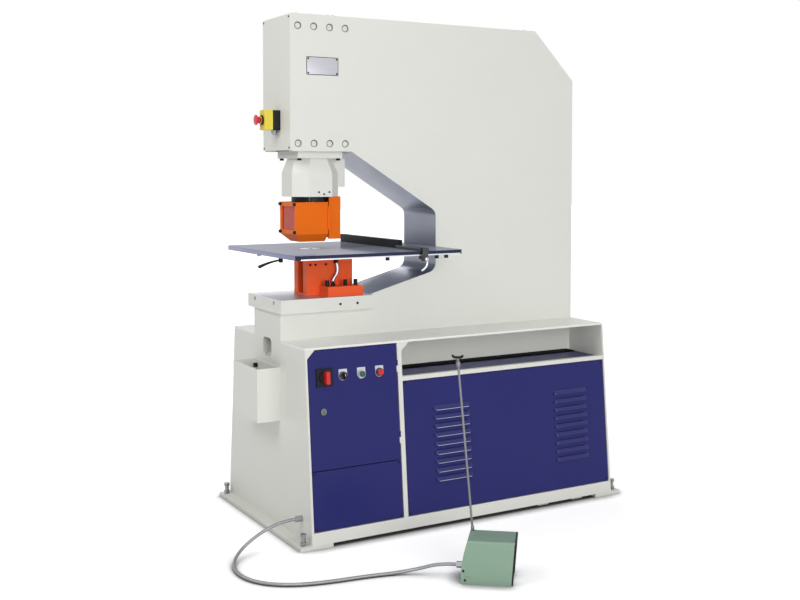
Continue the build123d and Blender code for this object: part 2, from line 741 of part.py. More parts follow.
def louvre_panel():
    left = PILLAR_X + PILLAR_WIDTH + PANEL_GAP
    right = BASE_REAR - PLATE_T - PANEL_GAP
    foot = slope(FLOOR_BAR_T + SILL_HEIGHT) + PANEL_GAP
    head = slope(RAIL_Z) - PANEL_GAP
    panel = tray([(left, foot), (right, foot), (right, head), (left, head)])
    hood, slot = louvre()
    for group in LOUVRE_LEFTS:
        for row in range(LOUVRE_COUNT):
            place = Pos(group + LOUVRE_WIDTH / 2, slope(LOUVRE_FOOT_Z) + row * LOUVRE_PITCH, 0)
            panel = panel - place * slot + place * hood
    return on_side(panel)


def side_screw(x, s):
    """A flat screw head on a blue panel, drawn flat on the near side."""
    head = Pos(x, s, -PANEL_INSET + SCREW_HEAD / 2) * Cylinder(SCREW_R, SCREW_HEAD)
    return on_side(head)


def panel_screws():
    solids = []
    sill_top = slope(FLOOR_BAR_T + SILL_HEIGHT) + PANEL_GAP + SCREW_INSET
    right = BASE_REAR - PLATE_T - PANEL_GAP - SCREW_INSET
    left = PILLAR_X + PILLAR_WIDTH + PANEL_GAP + SCREW_INSET
    for x in (left, right):
        for s in (sill_top, slope(RAIL_Z) - PANEL_GAP - SCREW_INSET):
            solids.append(side_screw(x, s))
    for x in (FRAME_FRONT + PANEL_GAP + SCREW_INSET, PILLAR_X - PANEL_GAP - SCREW_INSET):
        for s in (sill_top, slope(DOOR_FOOT_Z) - PANEL_GAP - SCREW_INSET):
            solids.append(side_screw(x, s))
    face = HEAD_FRONT - COVER_T
    reach = FRAME_HALF - COVER_SCREW_INSET
    for y in (-reach, reach):
        for z in (HEAD_UNDER + COVER_MARGIN + COVER_SCREW_INSET,
                  FRAME_TOP - COVER_MARGIN - COVER_SCREW_INSET):
            solids.append(rod((face, y, z), (face - SCREW_HEAD, y, z), SCREW_R))
    return Compound(children=solids)


# Controls on the door
def isolator_plate():
    half = ISOLATOR_SIZE / 2
    s = slope(CONTROL_Z)
    foot = -PANEL_INSET
    plate = block(ISOLATOR_X - half, ISOLATOR_X + half, s - half, s + half, foot, foot + ISOLATOR_T)
    return on_side(chamfer(plate.faces().sort_by(Axis.Z)[-1].edges(), ISOLATOR_T / 4))


def isolator_handle():
    foot = -PANEL_INSET + ISOLATOR_T
    s = slope(CONTROL_Z)
    hub = Pos(ISOLATOR_X, s, foot + HANDLE_HUB_T / 2) * Cylinder(HANDLE_R, HANDLE_HUB_T)
    half = HANDLE_BAR_WIDTH / 2
    reach = HANDLE_BAR_LENGTH / 2
    grip = block(ISOLATOR_X - half, ISOLATOR_X + half, s - reach, s + reach,
                 foot + HANDLE_HUB_T, foot + HANDLE_HUB_T + HANDLE_BAR_T)
    grip = fillet(grip.edges().filter_by(Axis.Z), HANDLE_BAR_WIDTH / 3)
    return on_side(hub + grip)


def legend_plates():
    solids = []
    s = slope(CONTROL_Z)
    foot = -PANEL_INSET
    half = LEGEND_WIDTH / 2
    for x in (SELECTOR_X, START_X, STOP_X):
        plate = block(x - half, x + half, s, s + LEGEND_RISE, foot, foot + LEGEND_T)
        plate += Pos(x, s, foot + LEGEND_T / 2) * Cylinder(half, LEGEND_T)
        plate += Pos(x, s, foot + LEGEND_T + BEZEL_T / 2) * Cylinder(BEZEL_R, BEZEL_T)
        if x != SELECTOR_X:
            plate -= Pos(x, s, foot) * Cylinder(BUTTON_R + SLIDE_CLEAR, BEZEL_T * 4)
        solids.append(on_side(plate))
    return Compound(children=solids)


def selector_knob():
    foot = -PANEL_INSET + LEGEND_T + BEZEL_T
    s = slope(CONTROL_Z)
    hub = Pos(SELECTOR_X, s, foot + BEZEL_T / 2) * Cylinder(BUTTON_R, BEZEL_T)
    half = BUTTON_R / 3
    grip = block(SELECTOR_X - half, SELECTOR_X + half, s - BUTTON_R, s + BUTTON_R,
                 foot + BEZEL_T, foot + 2 * BEZEL_T)
    return on_side(hub + grip)


def push_button(x):
    foot = -PANEL_INSET
    head = foot + LEGEND_T + BEZEL_T + BUTTON_PROUD
    s = slope(CONTROL_Z)
    cap = Pos(x, s, (foot + head) / 2) * Cylinder(BUTTON_R, head - foot)
    return on_side(cap)


def door_lock():
    foot = -PANEL_INSET
    s = slope(LOCK_Z)
    body = Pos(LOCK_X, s, foot + LOCK_T / 2) * Cylinder(LOCK_R, LOCK_T)
    half = LOCK_SLOT_WIDTH / 2
    reach = LOCK_R / 2
    slot = block(LOCK_X - half, LOCK_X + half, s - reach, s + reach, foot + LOCK_T / 2, foot + LOCK_T * 2)
    return on_side(body - slot)


# Electrical plate and hydraulic unit
def component_plate():
    left = FRAME_FRONT + GEAR_MARGIN
    right = PILLAR_X - GEAR_MARGIN
    foot = DOOR_FOOT_Z + GEAR_MARGIN
    head = DECK_UNDER - GEAR_MARGIN
    face = -FRAME_HALF - GEAR_PLATE_T
    plate = block(left, right, face, -FRAME_HALF, foot, head)
    for row in (foot + GEAR_MARGIN, head - GEAR_MARGIN - GEAR_HEIGHT):
        gap = (right - left) * GEAR_GAP_SHARE
        x = left + gap
        for share in GEAR_WIDTH_SHARES:
            width = (right - left) * share
            plate += block(x, x + width, face - GEAR_DEPTH, face, row, row + GEAR_HEIGHT)
            x += width + gap
    return plate


def oil_tank():
    left = PILLAR_X + PILLAR_WIDTH + TANK_WALL_GAP
    right = BASE_REAR - PLATE_T - TANK_WALL_GAP
    near = -side_half(TANK_TOP_Z) + TANK_CLEAR
    tank = block(left, right, near, -FRAME_HALF, TANK_FOOT_Z, TANK_TOP_Z)
    return fillet(tank.edges().filter_by(Axis.Z), TANK_CORNER)


def pump_motor():
    half = MOTOR_LENGTH / 2
    motor = rod((MOTOR_X - half, MOTOR_Y, MOTOR_Z), (MOTOR_X + half, MOTOR_Y, MOTOR_Z), MOTOR_R)
    for x in (MOTOR_X - MOTOR_FOOT_SPREAD / 2, MOTOR_X + MOTOR_FOOT_SPREAD / 2):
        wide = MOTOR_FOOT_WIDTH / 2
        motor += block(x - wide, x + wide, MOTOR_Y - MOTOR_FOOT_HALF, MOTOR_Y + MOTOR_FOOT_HALF,
                       FLOOR_BAR_T, MOTOR_Z)
    return motor


def hydraulic_pump():
    start = MOTOR_X - MOTOR_LENGTH / 2
    return rod((start, MOTOR_Y, MOTOR_Z), (start - PUMP_LENGTH, MOTOR_Y, MOTOR_Z), PUMP_R)


def valve_block():
    half = VALVE_SIZE / 2
    return block(VALVE_X - half, VALVE_X + half, -FRAME_HALF - VALVE_DEPTH, -FRAME_HALF,
                 VALVE_Z, VALVE_Z + VALVE_HEIGHT)


def hydraulic_hoses():
    """The pump's pressure hose to the valve block and the riser to the tank."""
    pump_end = MOTOR_X - MOTOR_LENGTH / 2 - PUMP_LENGTH
    valve_y = -FRAME_HALF - VALVE_DEPTH / 2
    turn = (VALVE_X, MOTOR_Y, MOTOR_Z)
    path = FilletPolyline(
        (pump_end, MOTOR_Y, MOTOR_Z), turn, (VALVE_X, MOTOR_Y, VALVE_Z), radius=HOSE_BEND
    )
    hose = sweep(Plane(origin=path @ 0, z_dir=path % 0) * Circle(HOSE_R), path)
    top = VALVE_Z + VALVE_HEIGHT
    riser = rod((VALVE_X, valve_y, top), (VALVE_X, valve_y, TANK_FOOT_Z), HOSE_R)
    return Compound(children=[hose, riser])


# C-frame: side plates, throat liner and closing plate
def throat_points():
    bolster_rear = BASE_FRONT - BOLSTER_OVERHANG + BOLSTER_LENGTH
    return [
        (HEAD_REAR, HEAD_UNDER),
        (THROAT_BACK, HEAD_UNDER - THROAT_UPPER_DROP),
        (THROAT_BACK, BOLSTER_TOP + THROAT_LOWER_RISE),
        (bolster_rear, BOLSTER_TOP),
    ]


def cut_points():
    """The throat moved out into the plates by the liner's thickness."""
    throat = throat_points()
    lines = []
    for p, q in zip(throat, throat[1:]):
        d = heading(p, q)
        lines.append((to_left(p, d, LINER_T), d))
    first = meet(*lines[0], throat[0], (1, 0))
    last = meet(*lines[2], throat[3], (0, 1))
    return [first, meet(*lines[0], *lines[1]), meet(*lines[1], *lines[2]), last]


def side_path(points, y, radius):
    """A side line of X and Z points with rounded corners, at one Y."""
    return FilletPolyline(*[(x, y, z) for x, z in points], radius=radius)


def side_plate(y0, y1):
    outline = [
        (FRAME_FRONT, FLOOR_BAR_T),
        (BASE_REAR - PLATE_T, FLOOR_BAR_T),
        (BASE_REAR - PLATE_T, DECK_UNDER),
        (BASE_REAR, DECK_UNDER),
        (BASE_REAR, FRAME_TOP - TOP_CHAMFER),
        (BASE_REAR - TOP_CHAMFER, FRAME_TOP),
        (FRAME_FRONT, FRAME_TOP),
    ]
    plate = across_y(outline, y0, y1)
    cut = cut_points()
    start = y0 - OVERRUN
    path = side_path(cut, start, THROAT_FILLET + LINER_T)
    back = [
        cut[3],
        (cut[3][0], ARM_TOP),
        (BASE_FRONT - OVERRUN, ARM_TOP),
        (BASE_FRONT - OVERRUN, FRAME_TOP + OVERRUN),
        (HEAD_FRONT, FRAME_TOP + OVERRUN),
        (HEAD_FRONT, HEAD_UNDER),
        cut[0],
    ]
    closing = Polyline(*[(x, start, z) for x, z in back])
    mouth = extrude(make_face(path.edges() + closing.edges()), y1 - y0 + 2 * OVERRUN, dir=(0, 1, 0))
    return plate - mouth


def head_bolt_places():
    xs = [HEAD_FRONT + HEAD_BOLT_EDGE_X + i * HEAD_BOLT_PITCH for i in range(HEAD_BOLT_COUNT)]
    zs = (HEAD_UNDER + HEAD_BOLT_EDGE_UNDER, FRAME_TOP - HEAD_BOLT_EDGE_TOP)
    return [(x, z) for z in zs for x in xs]


def frame_side(side):
    low, high = sorted((side * FRAME_INNER, side * FRAME_HALF))
    plate = side_plate(low, high)
    for x, z in head_bolt_places():
        seat = rod((x, side * (FRAME_HALF - HEAD_BOLT_SEAT), z), (x, side * (FRAME_HALF + OVERRUN), z),
                   HEAD_BOLT_SEAT_R)
        plate -= seat
    return plate


def head_bolts():
    solids = []
    for side in (-1, 1):
        for x, z in head_bolt_places():
            solids.append(rod((x, side * (FRAME_HALF - HEAD_BOLT_SEAT), z),
                              (x, side * (FRAME_HALF - HEAD_BOLT_PROUD), z), HEAD_BOLT_R))
    y = -FRAME_HALF + SIDE_PLATE_T / 2
    top_xs = [HEAD_FRONT + front for front in TOP_SCREW_FRONTS]
    for x in top_xs + [BASE_REAR - TOP_CHAMFER - TOP_SCREW_BACK]:
        solids.append(rod((x, y, FRAME_TOP), (x, y, FRAME_TOP + TOP_SCREW_HEAD), TOP_SCREW_R))
    return Compound(children=solids)


def throat_liner():
    throat = throat_points()
    cut = cut_points()
    inner = side_path(throat, -FRAME_HALF, THROAT_FILLET)
    outer = side_path(cut, -FRAME_HALF, THROAT_FILLET + LINER_T)
    ends = [
        Line((x0, -FRAME_HALF, z0), (x1, -FRAME_HALF, z1))
        for (x0, z0), (x1, z1) in ((throat[0], cut[0]), (throat[3], cut[3]))
    ]
    edges = inner.edges() + outer.edges() + [end.edge() for end in ends]
    return extrude(make_face(edges), FRAME_WIDTH, dir=(0, 1, 0))


def closing_plate():
    bend = CLOSING_T * tan(radians(22.5))
    outline = [
        (HEAD_FRONT, FRAME_TOP),
        (BASE_REAR - TOP_CHAMFER, FRAME_TOP),
        (BASE_REAR, FRAME_TOP - TOP_CHAMFER),
        (BASE_REAR, DECK_UNDER),
        (BASE_REAR - CLOSING_T, DECK_UNDER),
        (BASE_REAR - CLOSING_T, FRAME_TOP - TOP_CHAMFER - bend),
        (BASE_REAR - TOP_CHAMFER - bend, FRAME_TOP - CLOSING_T),
        (HEAD_FRONT, FRAME_TOP - CLOSING_T),
    ]
    return across_y(outline, -FRAME_INNER, FRAME_INNER)


# Head cover and emergency stop
def head_cover():
    face = HEAD_FRONT - COVER_T
    foot = HEAD_UNDER + COVER_MARGIN
    head = FRAME_TOP - COVER_MARGIN
    pan = block(face, HEAD_FRONT, -FRAME_HALF, FRAME_HALF, foot, head)
    inner = FRAME_HALF - COVER_WALL
    return pan - block(face + COVER_WALL, HEAD_FRONT + OVERRUN, -inner, inner,
                       foot + COVER_WALL, head - COVER_WALL)


def stop_box(start, end, bored):
    half = STOP_BOX_WIDTH / 2
    rise = STOP_BOX_HEIGHT / 2
    box = block(end, start, STOP_BOX_Y - half, STOP_BOX_Y + half, STOP_BOX_Z - rise, STOP_BOX_Z + rise)
    box = fillet(box.edges().filter_by(Axis.X), STOP_BOX_WIDTH / 12)
    if bored:
        face = end - STOP_COLLAR_T
        box += rod((end, STOP_BOX_Y, STOP_BOX_Z), (face, STOP_BOX_Y, STOP_BOX_Z), STOP_COLLAR_R)
        box -= rod((face - OVERRUN, STOP_BOX_Y, STOP_BOX_Z), (start - COVER_WALL, STOP_BOX_Y, STOP_BOX_Z),
                   STOP_STEM_R + RUN_CLEAR)
    return box


def stop_button():
    face = HEAD_FRONT - COVER_T - STOP_REAR_DEPTH - STOP_FRONT_DEPTH - STOP_COLLAR_T
    cap_foot = face - STOP_CAP_GAP
    root = face + STOP_COLLAR_T + STOP_CAP_GAP
    tip = cap_foot - STOP_CAP_T
    stem = rod((root, STOP_BOX_Y, STOP_BOX_Z), (cap_foot, STOP_BOX_Y, STOP_BOX_Z), STOP_STEM_R)
    cap = rod((cap_foot, STOP_BOX_Y, STOP_BOX_Z), (tip, STOP_BOX_Y, STOP_BOX_Z), STOP_CAP_R)
    front = cap.faces().sort_by(Axis.X)[0]
    return stem + chamfer(front.edges(), STOP_CAP_DOME)


# Cylinder, guide housing, collar, ram and punch
def cylinder():
    half = CYLINDER_HALF
    body = block(PUNCH_X - half, PUNCH_X + half, -FRAME_INNER, FRAME_INNER,
                 HEAD_UNDER, HEAD_UNDER + CYLINDER_HEIGHT)
    gland_top = HEAD_UNDER + GLAND_HEIGHT
    chamber_top = gland_top + PISTON_HEIGHT + STROKE + STROKE_SPARE
    body -= rod((PUNCH_X, 0, HEAD_UNDER - OVERRUN), (PUNCH_X, 0, gland_top), ROD_R + RUN_CLEAR)
    return body - rod((PUNCH_X, 0, gland_top), (PUNCH_X, 0, chamber_top), PISTON_R + RUN_CLEAR)


def octagon(half, corner, z):
    """A square with cut corners about the punch, at height z."""
    flat = half - corner
    points = [
        (half, -flat), (half, flat), (flat, half), (-flat, half),
        (-half, flat), (-half, -flat), (-flat, -half), (flat, -half),
    ]
    return make_face(Polyline(*[(PUNCH_X + x, y, z) for x, y in points], close=True))


def guide_housing():
    half = GUIDE_FLANGE / 2
    housing = block(PUNCH_X - half, PUNCH_X + half, -half, half, FLANGE_UNDER, HEAD_UNDER)
    shoulder = FLANGE_UNDER - GUIDE_NECK
    body_half = GUIDE_FLATS / 2
    neck = loft([
        octagon(body_half, GUIDE_CORNER, shoulder),
        octagon(GUIDE_NECK_FLATS / 2, GUIDE_NECK_CORNER, FLANGE_UNDER),
    ])
    skirt = extrude(octagon(body_half, GUIDE_CORNER, GUIDE_FOOT), shoulder - GUIDE_FOOT, dir=(0, 0, 1))
    boss = block(PUNCH_X + body_half - GUIDE_BOSS_REACH, PUNCH_X + body_half + GUIDE_BOSS_REACH,
                 -GUIDE_BOSS_HALF, GUIDE_BOSS_HALF, FLANGE_UNDER - GUIDE_BOSS_HEIGHT, FLANGE_UNDER)
    housing = housing + neck + skirt + boss
    return housing - rod((PUNCH_X, 0, GUIDE_FOOT - OVERRUN), (PUNCH_X, 0, HEAD_UNDER + OVERRUN),
                         ROD_R + RUN_CLEAR)


def guide_collar():
    ring = rod((PUNCH_X, 0, COLLAR_FOOT), (PUNCH_X, 0, GUIDE_FOOT), COLLAR_R)
    ring -= rod((PUNCH_X, 0, COLLAR_FOOT - OVERRUN), (PUNCH_X, 0, GUIDE_FOOT + OVERRUN),
                ROD_R + COLLAR_BORE_CLEAR)
    half = COLLAR_SLIT / 2
    slit = block(-COLLAR_R - OVERRUN, 0, -half, half, COLLAR_FOOT - OVERRUN, GUIDE_FOOT + OVERRUN)
    return ring - Pos(PUNCH_X, 0, 0) * (Rot(0, 0, 62) * slit)


def ram():
    top = HEAD_UNDER + GLAND_HEIGHT + STROKE_SPARE / 2 + STROKE
    bottom = GUARD_TOP - NUT_DROP
    shaft = rod((PUNCH_X, 0, bottom), (PUNCH_X, 0, top), ROD_R)
    return shaft + rod((PUNCH_X, 0, top), (PUNCH_X, 0, top + PISTON_HEIGHT), PISTON_R)


def punch_nut():
    top = GUARD_TOP - NUT_DROP
    return hex_bar((PUNCH_X, 0, top), (PUNCH_X, 0, top - NUT_HEIGHT), NUT_R)


def punch():
    top = GUARD_TOP - NUT_DROP - NUT_HEIGHT
    shoulder = top - SHANK_LENGTH
    body = rod((PUNCH_X, 0, top), (PUNCH_X, 0, shoulder), SHANK_R)
    return body + rod((PUNCH_X, 0, shoulder), (PUNCH_X, 0, GUARD_FOOT + TIP_REST), TIP_R)


# Guard box and its bracket
GUARD_FRONT = PUNCH_X - GUARD_FRONT_REACH
GUARD_REAR = PUNCH_X + GUARD_REAR_REACH
GUARD_HINGE_X = GUARD_REAR + SEAM / 2
GUARD_HINGE_Y = -GUARD_HALF - GUARD_HINGE_OUT
GUARD_KNEE = GUARD_FOOT + GUARD_TAPER


def guard_rectangle(shrink, taper, rear, z):
    """The guard's section at a height, shrunk by its wall and drawn in by its taper."""
    half = GUARD_HALF - shrink - taper
    front = GUARD_FRONT + shrink + taper
    points = [(front, -half), (rear, -half), (rear, half), (front, half)]
    return make_face(Polyline(*[(x, y, z) for x, y in points], close=True))


def guard_form(shrink, rear, foot, head):
    """The guard's outer or inner form: a straight box over a tapered foot."""
    box = extrude(guard_rectangle(shrink, 0, rear, GUARD_KNEE), head - GUARD_KNEE, dir=(0, 0, 1))
    taper = GUARD_KNEE - foot
    return box + loft([
        guard_rectangle(shrink, taper, rear, foot),
        guard_rectangle(shrink, 0, rear, GUARD_KNEE),
    ])


def guard_hinge_spans():
    """Heights of the guard's two knuckles."""
    low = GUARD_KNEE + GUARD_HINGE_INSET
    high = GUARD_TOP - GUARD_HINGE_INSET - GUARD_HINGE_LENGTH
    return ((low, low + GUARD_HINGE_LENGTH), (high, high + GUARD_HINGE_LENGTH))


def guard_barrel(foot, head, radius):
    return rod((GUARD_HINGE_X, GUARD_HINGE_Y, foot), (GUARD_HINGE_X, GUARD_HINGE_Y, head), radius)


def guard():
    shell = guard_form(0, GUARD_REAR, GUARD_FOOT, GUARD_TOP)
    shell -= guard_form(GUARD_WALL, GUARD_REAR + OVERRUN, GUARD_FOOT + GUARD_WALL, GUARD_TOP + OVERRUN)
    slot = rod((PUNCH_X, 0, GUARD_FOOT - OVERRUN), (PUNCH_X, 0, GUARD_KNEE), GUARD_SLOT_HALF)
    slot += block(PUNCH_X, GUARD_REAR + OVERRUN, -GUARD_SLOT_HALF, GUARD_SLOT_HALF,
                  GUARD_FOOT - OVERRUN, GUARD_KNEE)
    shell -= slot
    edge = GUARD_HALF - WINDOW_EDGE
    shell -= block(GUARD_FRONT - OVERRUN, GUARD_FRONT + GUARD_WALL, -edge, edge,
                   GUARD_KNEE + WINDOW_EDGE, GUARD_TOP - WINDOW_EDGE)
    (low, low_end), (high, high_end) = guard_hinge_spans()
    shell -= guard_barrel(low_end, high, GUARD_HINGE_R + PART_CLEAR)
    for foot, head in guard_hinge_spans():
        shell += guard_barrel(foot, head, GUARD_HINGE_R)
    return shell - guard_barrel(low - OVERRUN, high_end + OVERRUN, GUARD_PIN_R + RUN_CLEAR)


def guard_window():
    edge = GUARD_HALF - WINDOW_EDGE + WINDOW_LAP
    inner = GUARD_FRONT + GUARD_WALL
    return block(inner, inner + WINDOW_T, -edge, edge,
                 GUARD_KNEE + WINDOW_EDGE - WINDOW_LAP, GUARD_TOP - WINDOW_EDGE + WINDOW_LAP)


def guard_bracket():
    front = GUARD_REAR + SEAM
    rear = front + BRACKET_DEPTH
    foot = GUARD_FOOT + BRACKET_LIFT
    channel = block(front, rear, -GUARD_HALF, GUARD_HALF, foot, GUIDE_FOOT)
    inner = GUARD_HALF - BRACKET_WALL
    channel -= block(front - OVERRUN, rear - BRACKET_WALL, -inner, inner,
                     foot - OVERRUN, GUIDE_FOOT + OVERRUN)
    channel -= rod((PUNCH_X, 0, COLLAR_FOOT - COLLAR_GAP), (PUNCH_X, 0, GUIDE_FOOT + OVERRUN),
                   COLLAR_R + COLLAR_GAP)
    spans = guard_hinge_spans()
    for low, high in spans:
        channel -= guard_barrel(low - PART_CLEAR, high + PART_CLEAR, GUARD_HINGE_R + PART_CLEAR)
    middle = guard_barrel(spans[0][1] + PART_CLEAR, spans[1][0] - PART_CLEAR, GUARD_HINGE_R)
    pin = guard_barrel(spans[0][0], spans[1][1], GUARD_PIN_R)
    return channel + middle + pin


# Bolster, die holder, die and their lever
BOLSTER_FRONT = BASE_FRONT - BOLSTER_OVERHANG
BOLSTER_REAR = BOLSTER_FRONT + BOLSTER_LENGTH
HOLDER_FRONT = PUNCH_X - HOLDER_FRONT_REACH
HOLDER_REAR = PUNCH_X + HOLDER_REAR_REACH
DIE_FOOT = TABLE_TOP - DIE_HEIGHT


def bolster():
    plate = block(BOLSTER_FRONT, BOLSTER_REAR, -BOLSTER_HALF, BOLSTER_HALF, ARM_TOP, BOLSTER_TOP)
    hole_z = BOLSTER_TOP - BOLSTER_HOLE_DROP
    for y in (-BOLSTER_HOLE_Y, BOLSTER_HOLE_Y):
        plate -= rod((BOLSTER_FRONT - OVERRUN, y, hole_z), (BOLSTER_FRONT + BOLSTER_HOLE_DEPTH, y, hole_z),
                     BOLSTER_HOLE_R)
    return plate - rod((PUNCH_X, 0, ARM_TOP - OVERRUN), (PUNCH_X, 0, BOLSTER_TOP + OVERRUN), SLUG_HOLE_R)


def die_holder():
    lip_foot = TABLE_UNDER - HOLDER_LIP_T
    body = block(HOLDER_FRONT, HOLDER_REAR, -HOLDER_HALF, HOLDER_HALF, BOLSTER_TOP, lip_foot)
    edge = HOLDER_HALF + HOLDER_LIP
    body += block(HOLDER_FRONT - HOLDER_LIP, HOLDER_REAR + HOLDER_LIP, -edge, edge, lip_foot, TABLE_UNDER)
    body += block(HOLDER_FRONT + HOLDER_FLANGE_INSET, HOLDER_REAR + HOLDER_LIP,
                  -HOLDER_HALF - HOLDER_FLANGE_REACH, -HOLDER_HALF,
                  BOLSTER_TOP, BOLSTER_TOP + HOLDER_FLANGE_HEIGHT)
    body -= block(HOLDER_FRONT - OVERRUN, HOLDER_FRONT + HOLDER_SLOT_DEPTH,
                  -HOLDER_SLOT_HALF, HOLDER_SLOT_HALF,
                  BOLSTER_TOP + HOLDER_FOOT, TABLE_UNDER - HOLDER_SLOT_TOP)
    body -= rod((PUNCH_X, 0, BOLSTER_TOP - OVERRUN), (PUNCH_X, 0, BOLSTER_TOP + HOLDER_FOOT), SLUG_HOLE_R)
    body -= rod((PUNCH_X, 0, TABLE_UNDER - HOLDER_SLOT_TOP), (PUNCH_X, 0, DIE_FOOT), DIE_RELIEF_R)
    return body - rod((PUNCH_X, 0, DIE_FOOT), (PUNCH_X, 0, TABLE_UNDER + OVERRUN), DIE_R + RUN_CLEAR)


def die():
    ring = rod((PUNCH_X, 0, DIE_FOOT), (PUNCH_X, 0, TABLE_TOP), DIE_R)
    return ring - rod((PUNCH_X, 0, DIE_FOOT - OVERRUN), (PUNCH_X, 0, TABLE_TOP + OVERRUN),
                      TIP_R + DIE_BORE_CLEAR)


def hanging_lever(pivot, length, lean):
    """A hub on a cross axis with a bent round handle that hangs from it."""
    x, y, z = pivot
    hub = rod((x, y, z), (x, y - LEVER_HUB_T, z), LEVER_HUB_R)
    middle = y - LEVER_HUB_T / 2
    bend = (x, middle, z - length * LEVER_BEND_SHARE)
    tip = (x + lean * length * LEVER_LEAN_SHARE, middle, z - length)
    return hub + rod((x, middle, z), bend, LEVER_R) + rod(bend, tip, LEVER_R) + Pos(*bend) * Sphere(LEVER_R)


DIE_LEVER_PIVOT = (DIE_LEVER_X, -HOLDER_HALF, TABLE_UNDER - HOLDER_LIP_T - DIE_LEVER_DROP)


# Work table, back gauge and clamp levers
TABLE_FRONT = PUNCH_X - TABLE_FRONT_REACH
TABLE_REAR = THROAT_BACK - TABLE_BACK_GAP


def table_plate():
    plate = block(TABLE_FRONT, TABLE_REAR, -TABLE_HALF, TABLE_HALF, TABLE_UNDER, TABLE_TOP)
    plate = chamfer(plate.edges().filter_by(Axis.Z), TABLE_CORNER)
    return plate - rod((PUNCH_X, 0, TABLE_UNDER - OVERRUN), (PUNCH_X, 0, TABLE_TOP + OVERRUN),
                       DIE_R + TABLE_HOLE_CLEAR)


GAUGE_FOOT = TABLE_TOP + GAUGE_GAP
CARRIAGE_FACE = -TABLE_HALF - GAUGE_GAP - CARRIAGE_WALL


def gauge_bar():
    half = GAUGE_BAR_T / 2
    return block(GAUGE_X - half, GAUGE_X + half, GAUGE_NEAR_Y, GAUGE_FAR_Y,
                 GAUGE_FOOT, GAUGE_FOOT + GAUGE_BAR_HEIGHT)


def gauge_carriage():
    half = CARRIAGE_WIDTH / 2
    left = GAUGE_X - half
    right = GAUGE_X + half
    inner = CARRIAGE_FACE + CARRIAGE_WALL
    top = GAUGE_FOOT + CARRIAGE_HEIGHT
    jaw_top = TABLE_UNDER - CARRIAGE_JAW_GAP
    foot = jaw_top - CARRIAGE_JAW_T
    arm = block(left, right, inner, GAUGE_NEAR_Y, GAUGE_FOOT, top)
    arm = chamfer(arm.edges().filter_by(Axis.Y).group_by(Axis.Z)[-1], CARRIAGE_HEIGHT / 4)
    near = GAUGE_X - CARRIAGE_CLAMP / 2
    away = GAUGE_X + CARRIAGE_CLAMP / 2
    front = block(near, away, CARRIAGE_FACE, inner, foot - CARRIAGE_DROP + CARRIAGE_JAW_T, top)
    jaw = block(near, away, inner, inner + CARRIAGE_JAW, foot, jaw_top)
    return arm + front + jaw


GAUGE_LEVER_PIVOT = (GAUGE_X, CARRIAGE_FACE, TABLE_UNDER - CARRIAGE_JAW_T)


def table_lever():
    x = TABLE_FRONT + TABLE_LEVER_INSET
    y = TABLE_LEVER_Y
    top = TABLE_UNDER
    middle = top - TABLE_LEVER_HUB_T / 2
    hub = rod((x, y, top), (x, y, top - TABLE_LEVER_HUB_T), TABLE_LEVER_HUB_R)
    reach = TABLE_LEVER_LENGTH + TABLE_LEVER_INSET
    tip = (x - reach, y, middle - TABLE_LEVER_DIP)
    return hub + rod((x, y, middle), tip, LEVER_R) + Pos(*tip) * Sphere(LEVER_R * 1.5)


# Slug bin and black cap screws
def slug_bin():
    front = BASE_FRONT - BIN_DEPTH
    head = BIN_FOOT_Z + BIN_HEIGHT
    box = block(front, BASE_FRONT, -BIN_HALF, BIN_HALF, BIN_FOOT_Z, head)
    inner = BIN_HALF - BIN_WALL
    return box - block(front + BIN_WALL, BASE_FRONT - BIN_WALL, -inner, inner,
                       BIN_FOOT_Z + BIN_WALL, head + OVERRUN)


def cap_screws():
    solids = []
    reach = GUIDE_FLANGE / 2 - GUIDE_SCREW_INSET
    for x in (PUNCH_X - reach, PUNCH_X + reach):
        for y in (-reach, reach):
            solids.append(rod((x, y, FLANGE_UNDER), (x, y, FLANGE_UNDER - CAP_HEAD), CAP_R))
    flange_top = BOLSTER_TOP + HOLDER_FLANGE_HEIGHT
    flange_y = -HOLDER_HALF - HOLDER_FLANGE_REACH / 2
    flange_front = HOLDER_FRONT + HOLDER_FLANGE_INSET + FLANGE_SCREW_INSET
    flange_rear = HOLDER_REAR + HOLDER_LIP - FLANGE_SCREW_INSET
    for share in FLANGE_SCREW_SHARES:
        x = flange_front + share * (flange_rear - flange_front)
        solids.append(rod((x, flange_y, flange_top), (x, flange_y, flange_top + FLANGE_SCREW_HEAD), CAP_R))
    y = -TABLE_HALF + TABLE_SCREW_INSET
    for back in TABLE_SCREW_BACKS:
        x = TABLE_REAR - back
        solids.append(rod((x, y, TABLE_UNDER), (x, y, TABLE_UNDER - CAP_HEAD * 2), CAP_R))
    front_x = TABLE_FRONT + TABLE_LEVER_INSET
    solids.append(rod((front_x, TABLE_FRONT_SCREW_Y, TABLE_UNDER),
                      (front_x, TABLE_FRONT_SCREW_Y, TABLE_UNDER - CAP_HEAD), CAP_R))
    face = -GUIDE_FLATS / 2
    for i in (-1, 0, 1):
        x = PUNCH_X + i * COLLAR_SCREW_PITCH + COLLAR_SCREW_SHIFT
        z = GUIDE_FOOT + COLLAR_SCREW_Z - (COLLAR_SCREW_DIP if i == 0 else 0)
        solids.append(rod((x, face, z), (x, face - SCREW_HEAD, z), SCREW_R))
    for y in (-BIN_KNOB_Y, BIN_KNOB_Y):
        start = BASE_FRONT - BIN_WALL
        solids.append(rod((start, y, BIN_KNOB_Z), (start - BIN_KNOB_T, y, BIN_KNOB_Z), BIN_KNOB_R))
    return Compound(children=solids)


# Foot switch: its own frame, X towards the mouth
switch_plane = Plane(
    origin=(SWITCH_REAR_X, SWITCH_REAR_Y, 0),
    x_dir=(cos(radians(SWITCH_TURN)), sin(radians(SWITCH_TURN)), 0),
    z_dir=(0, 0, 1),
)


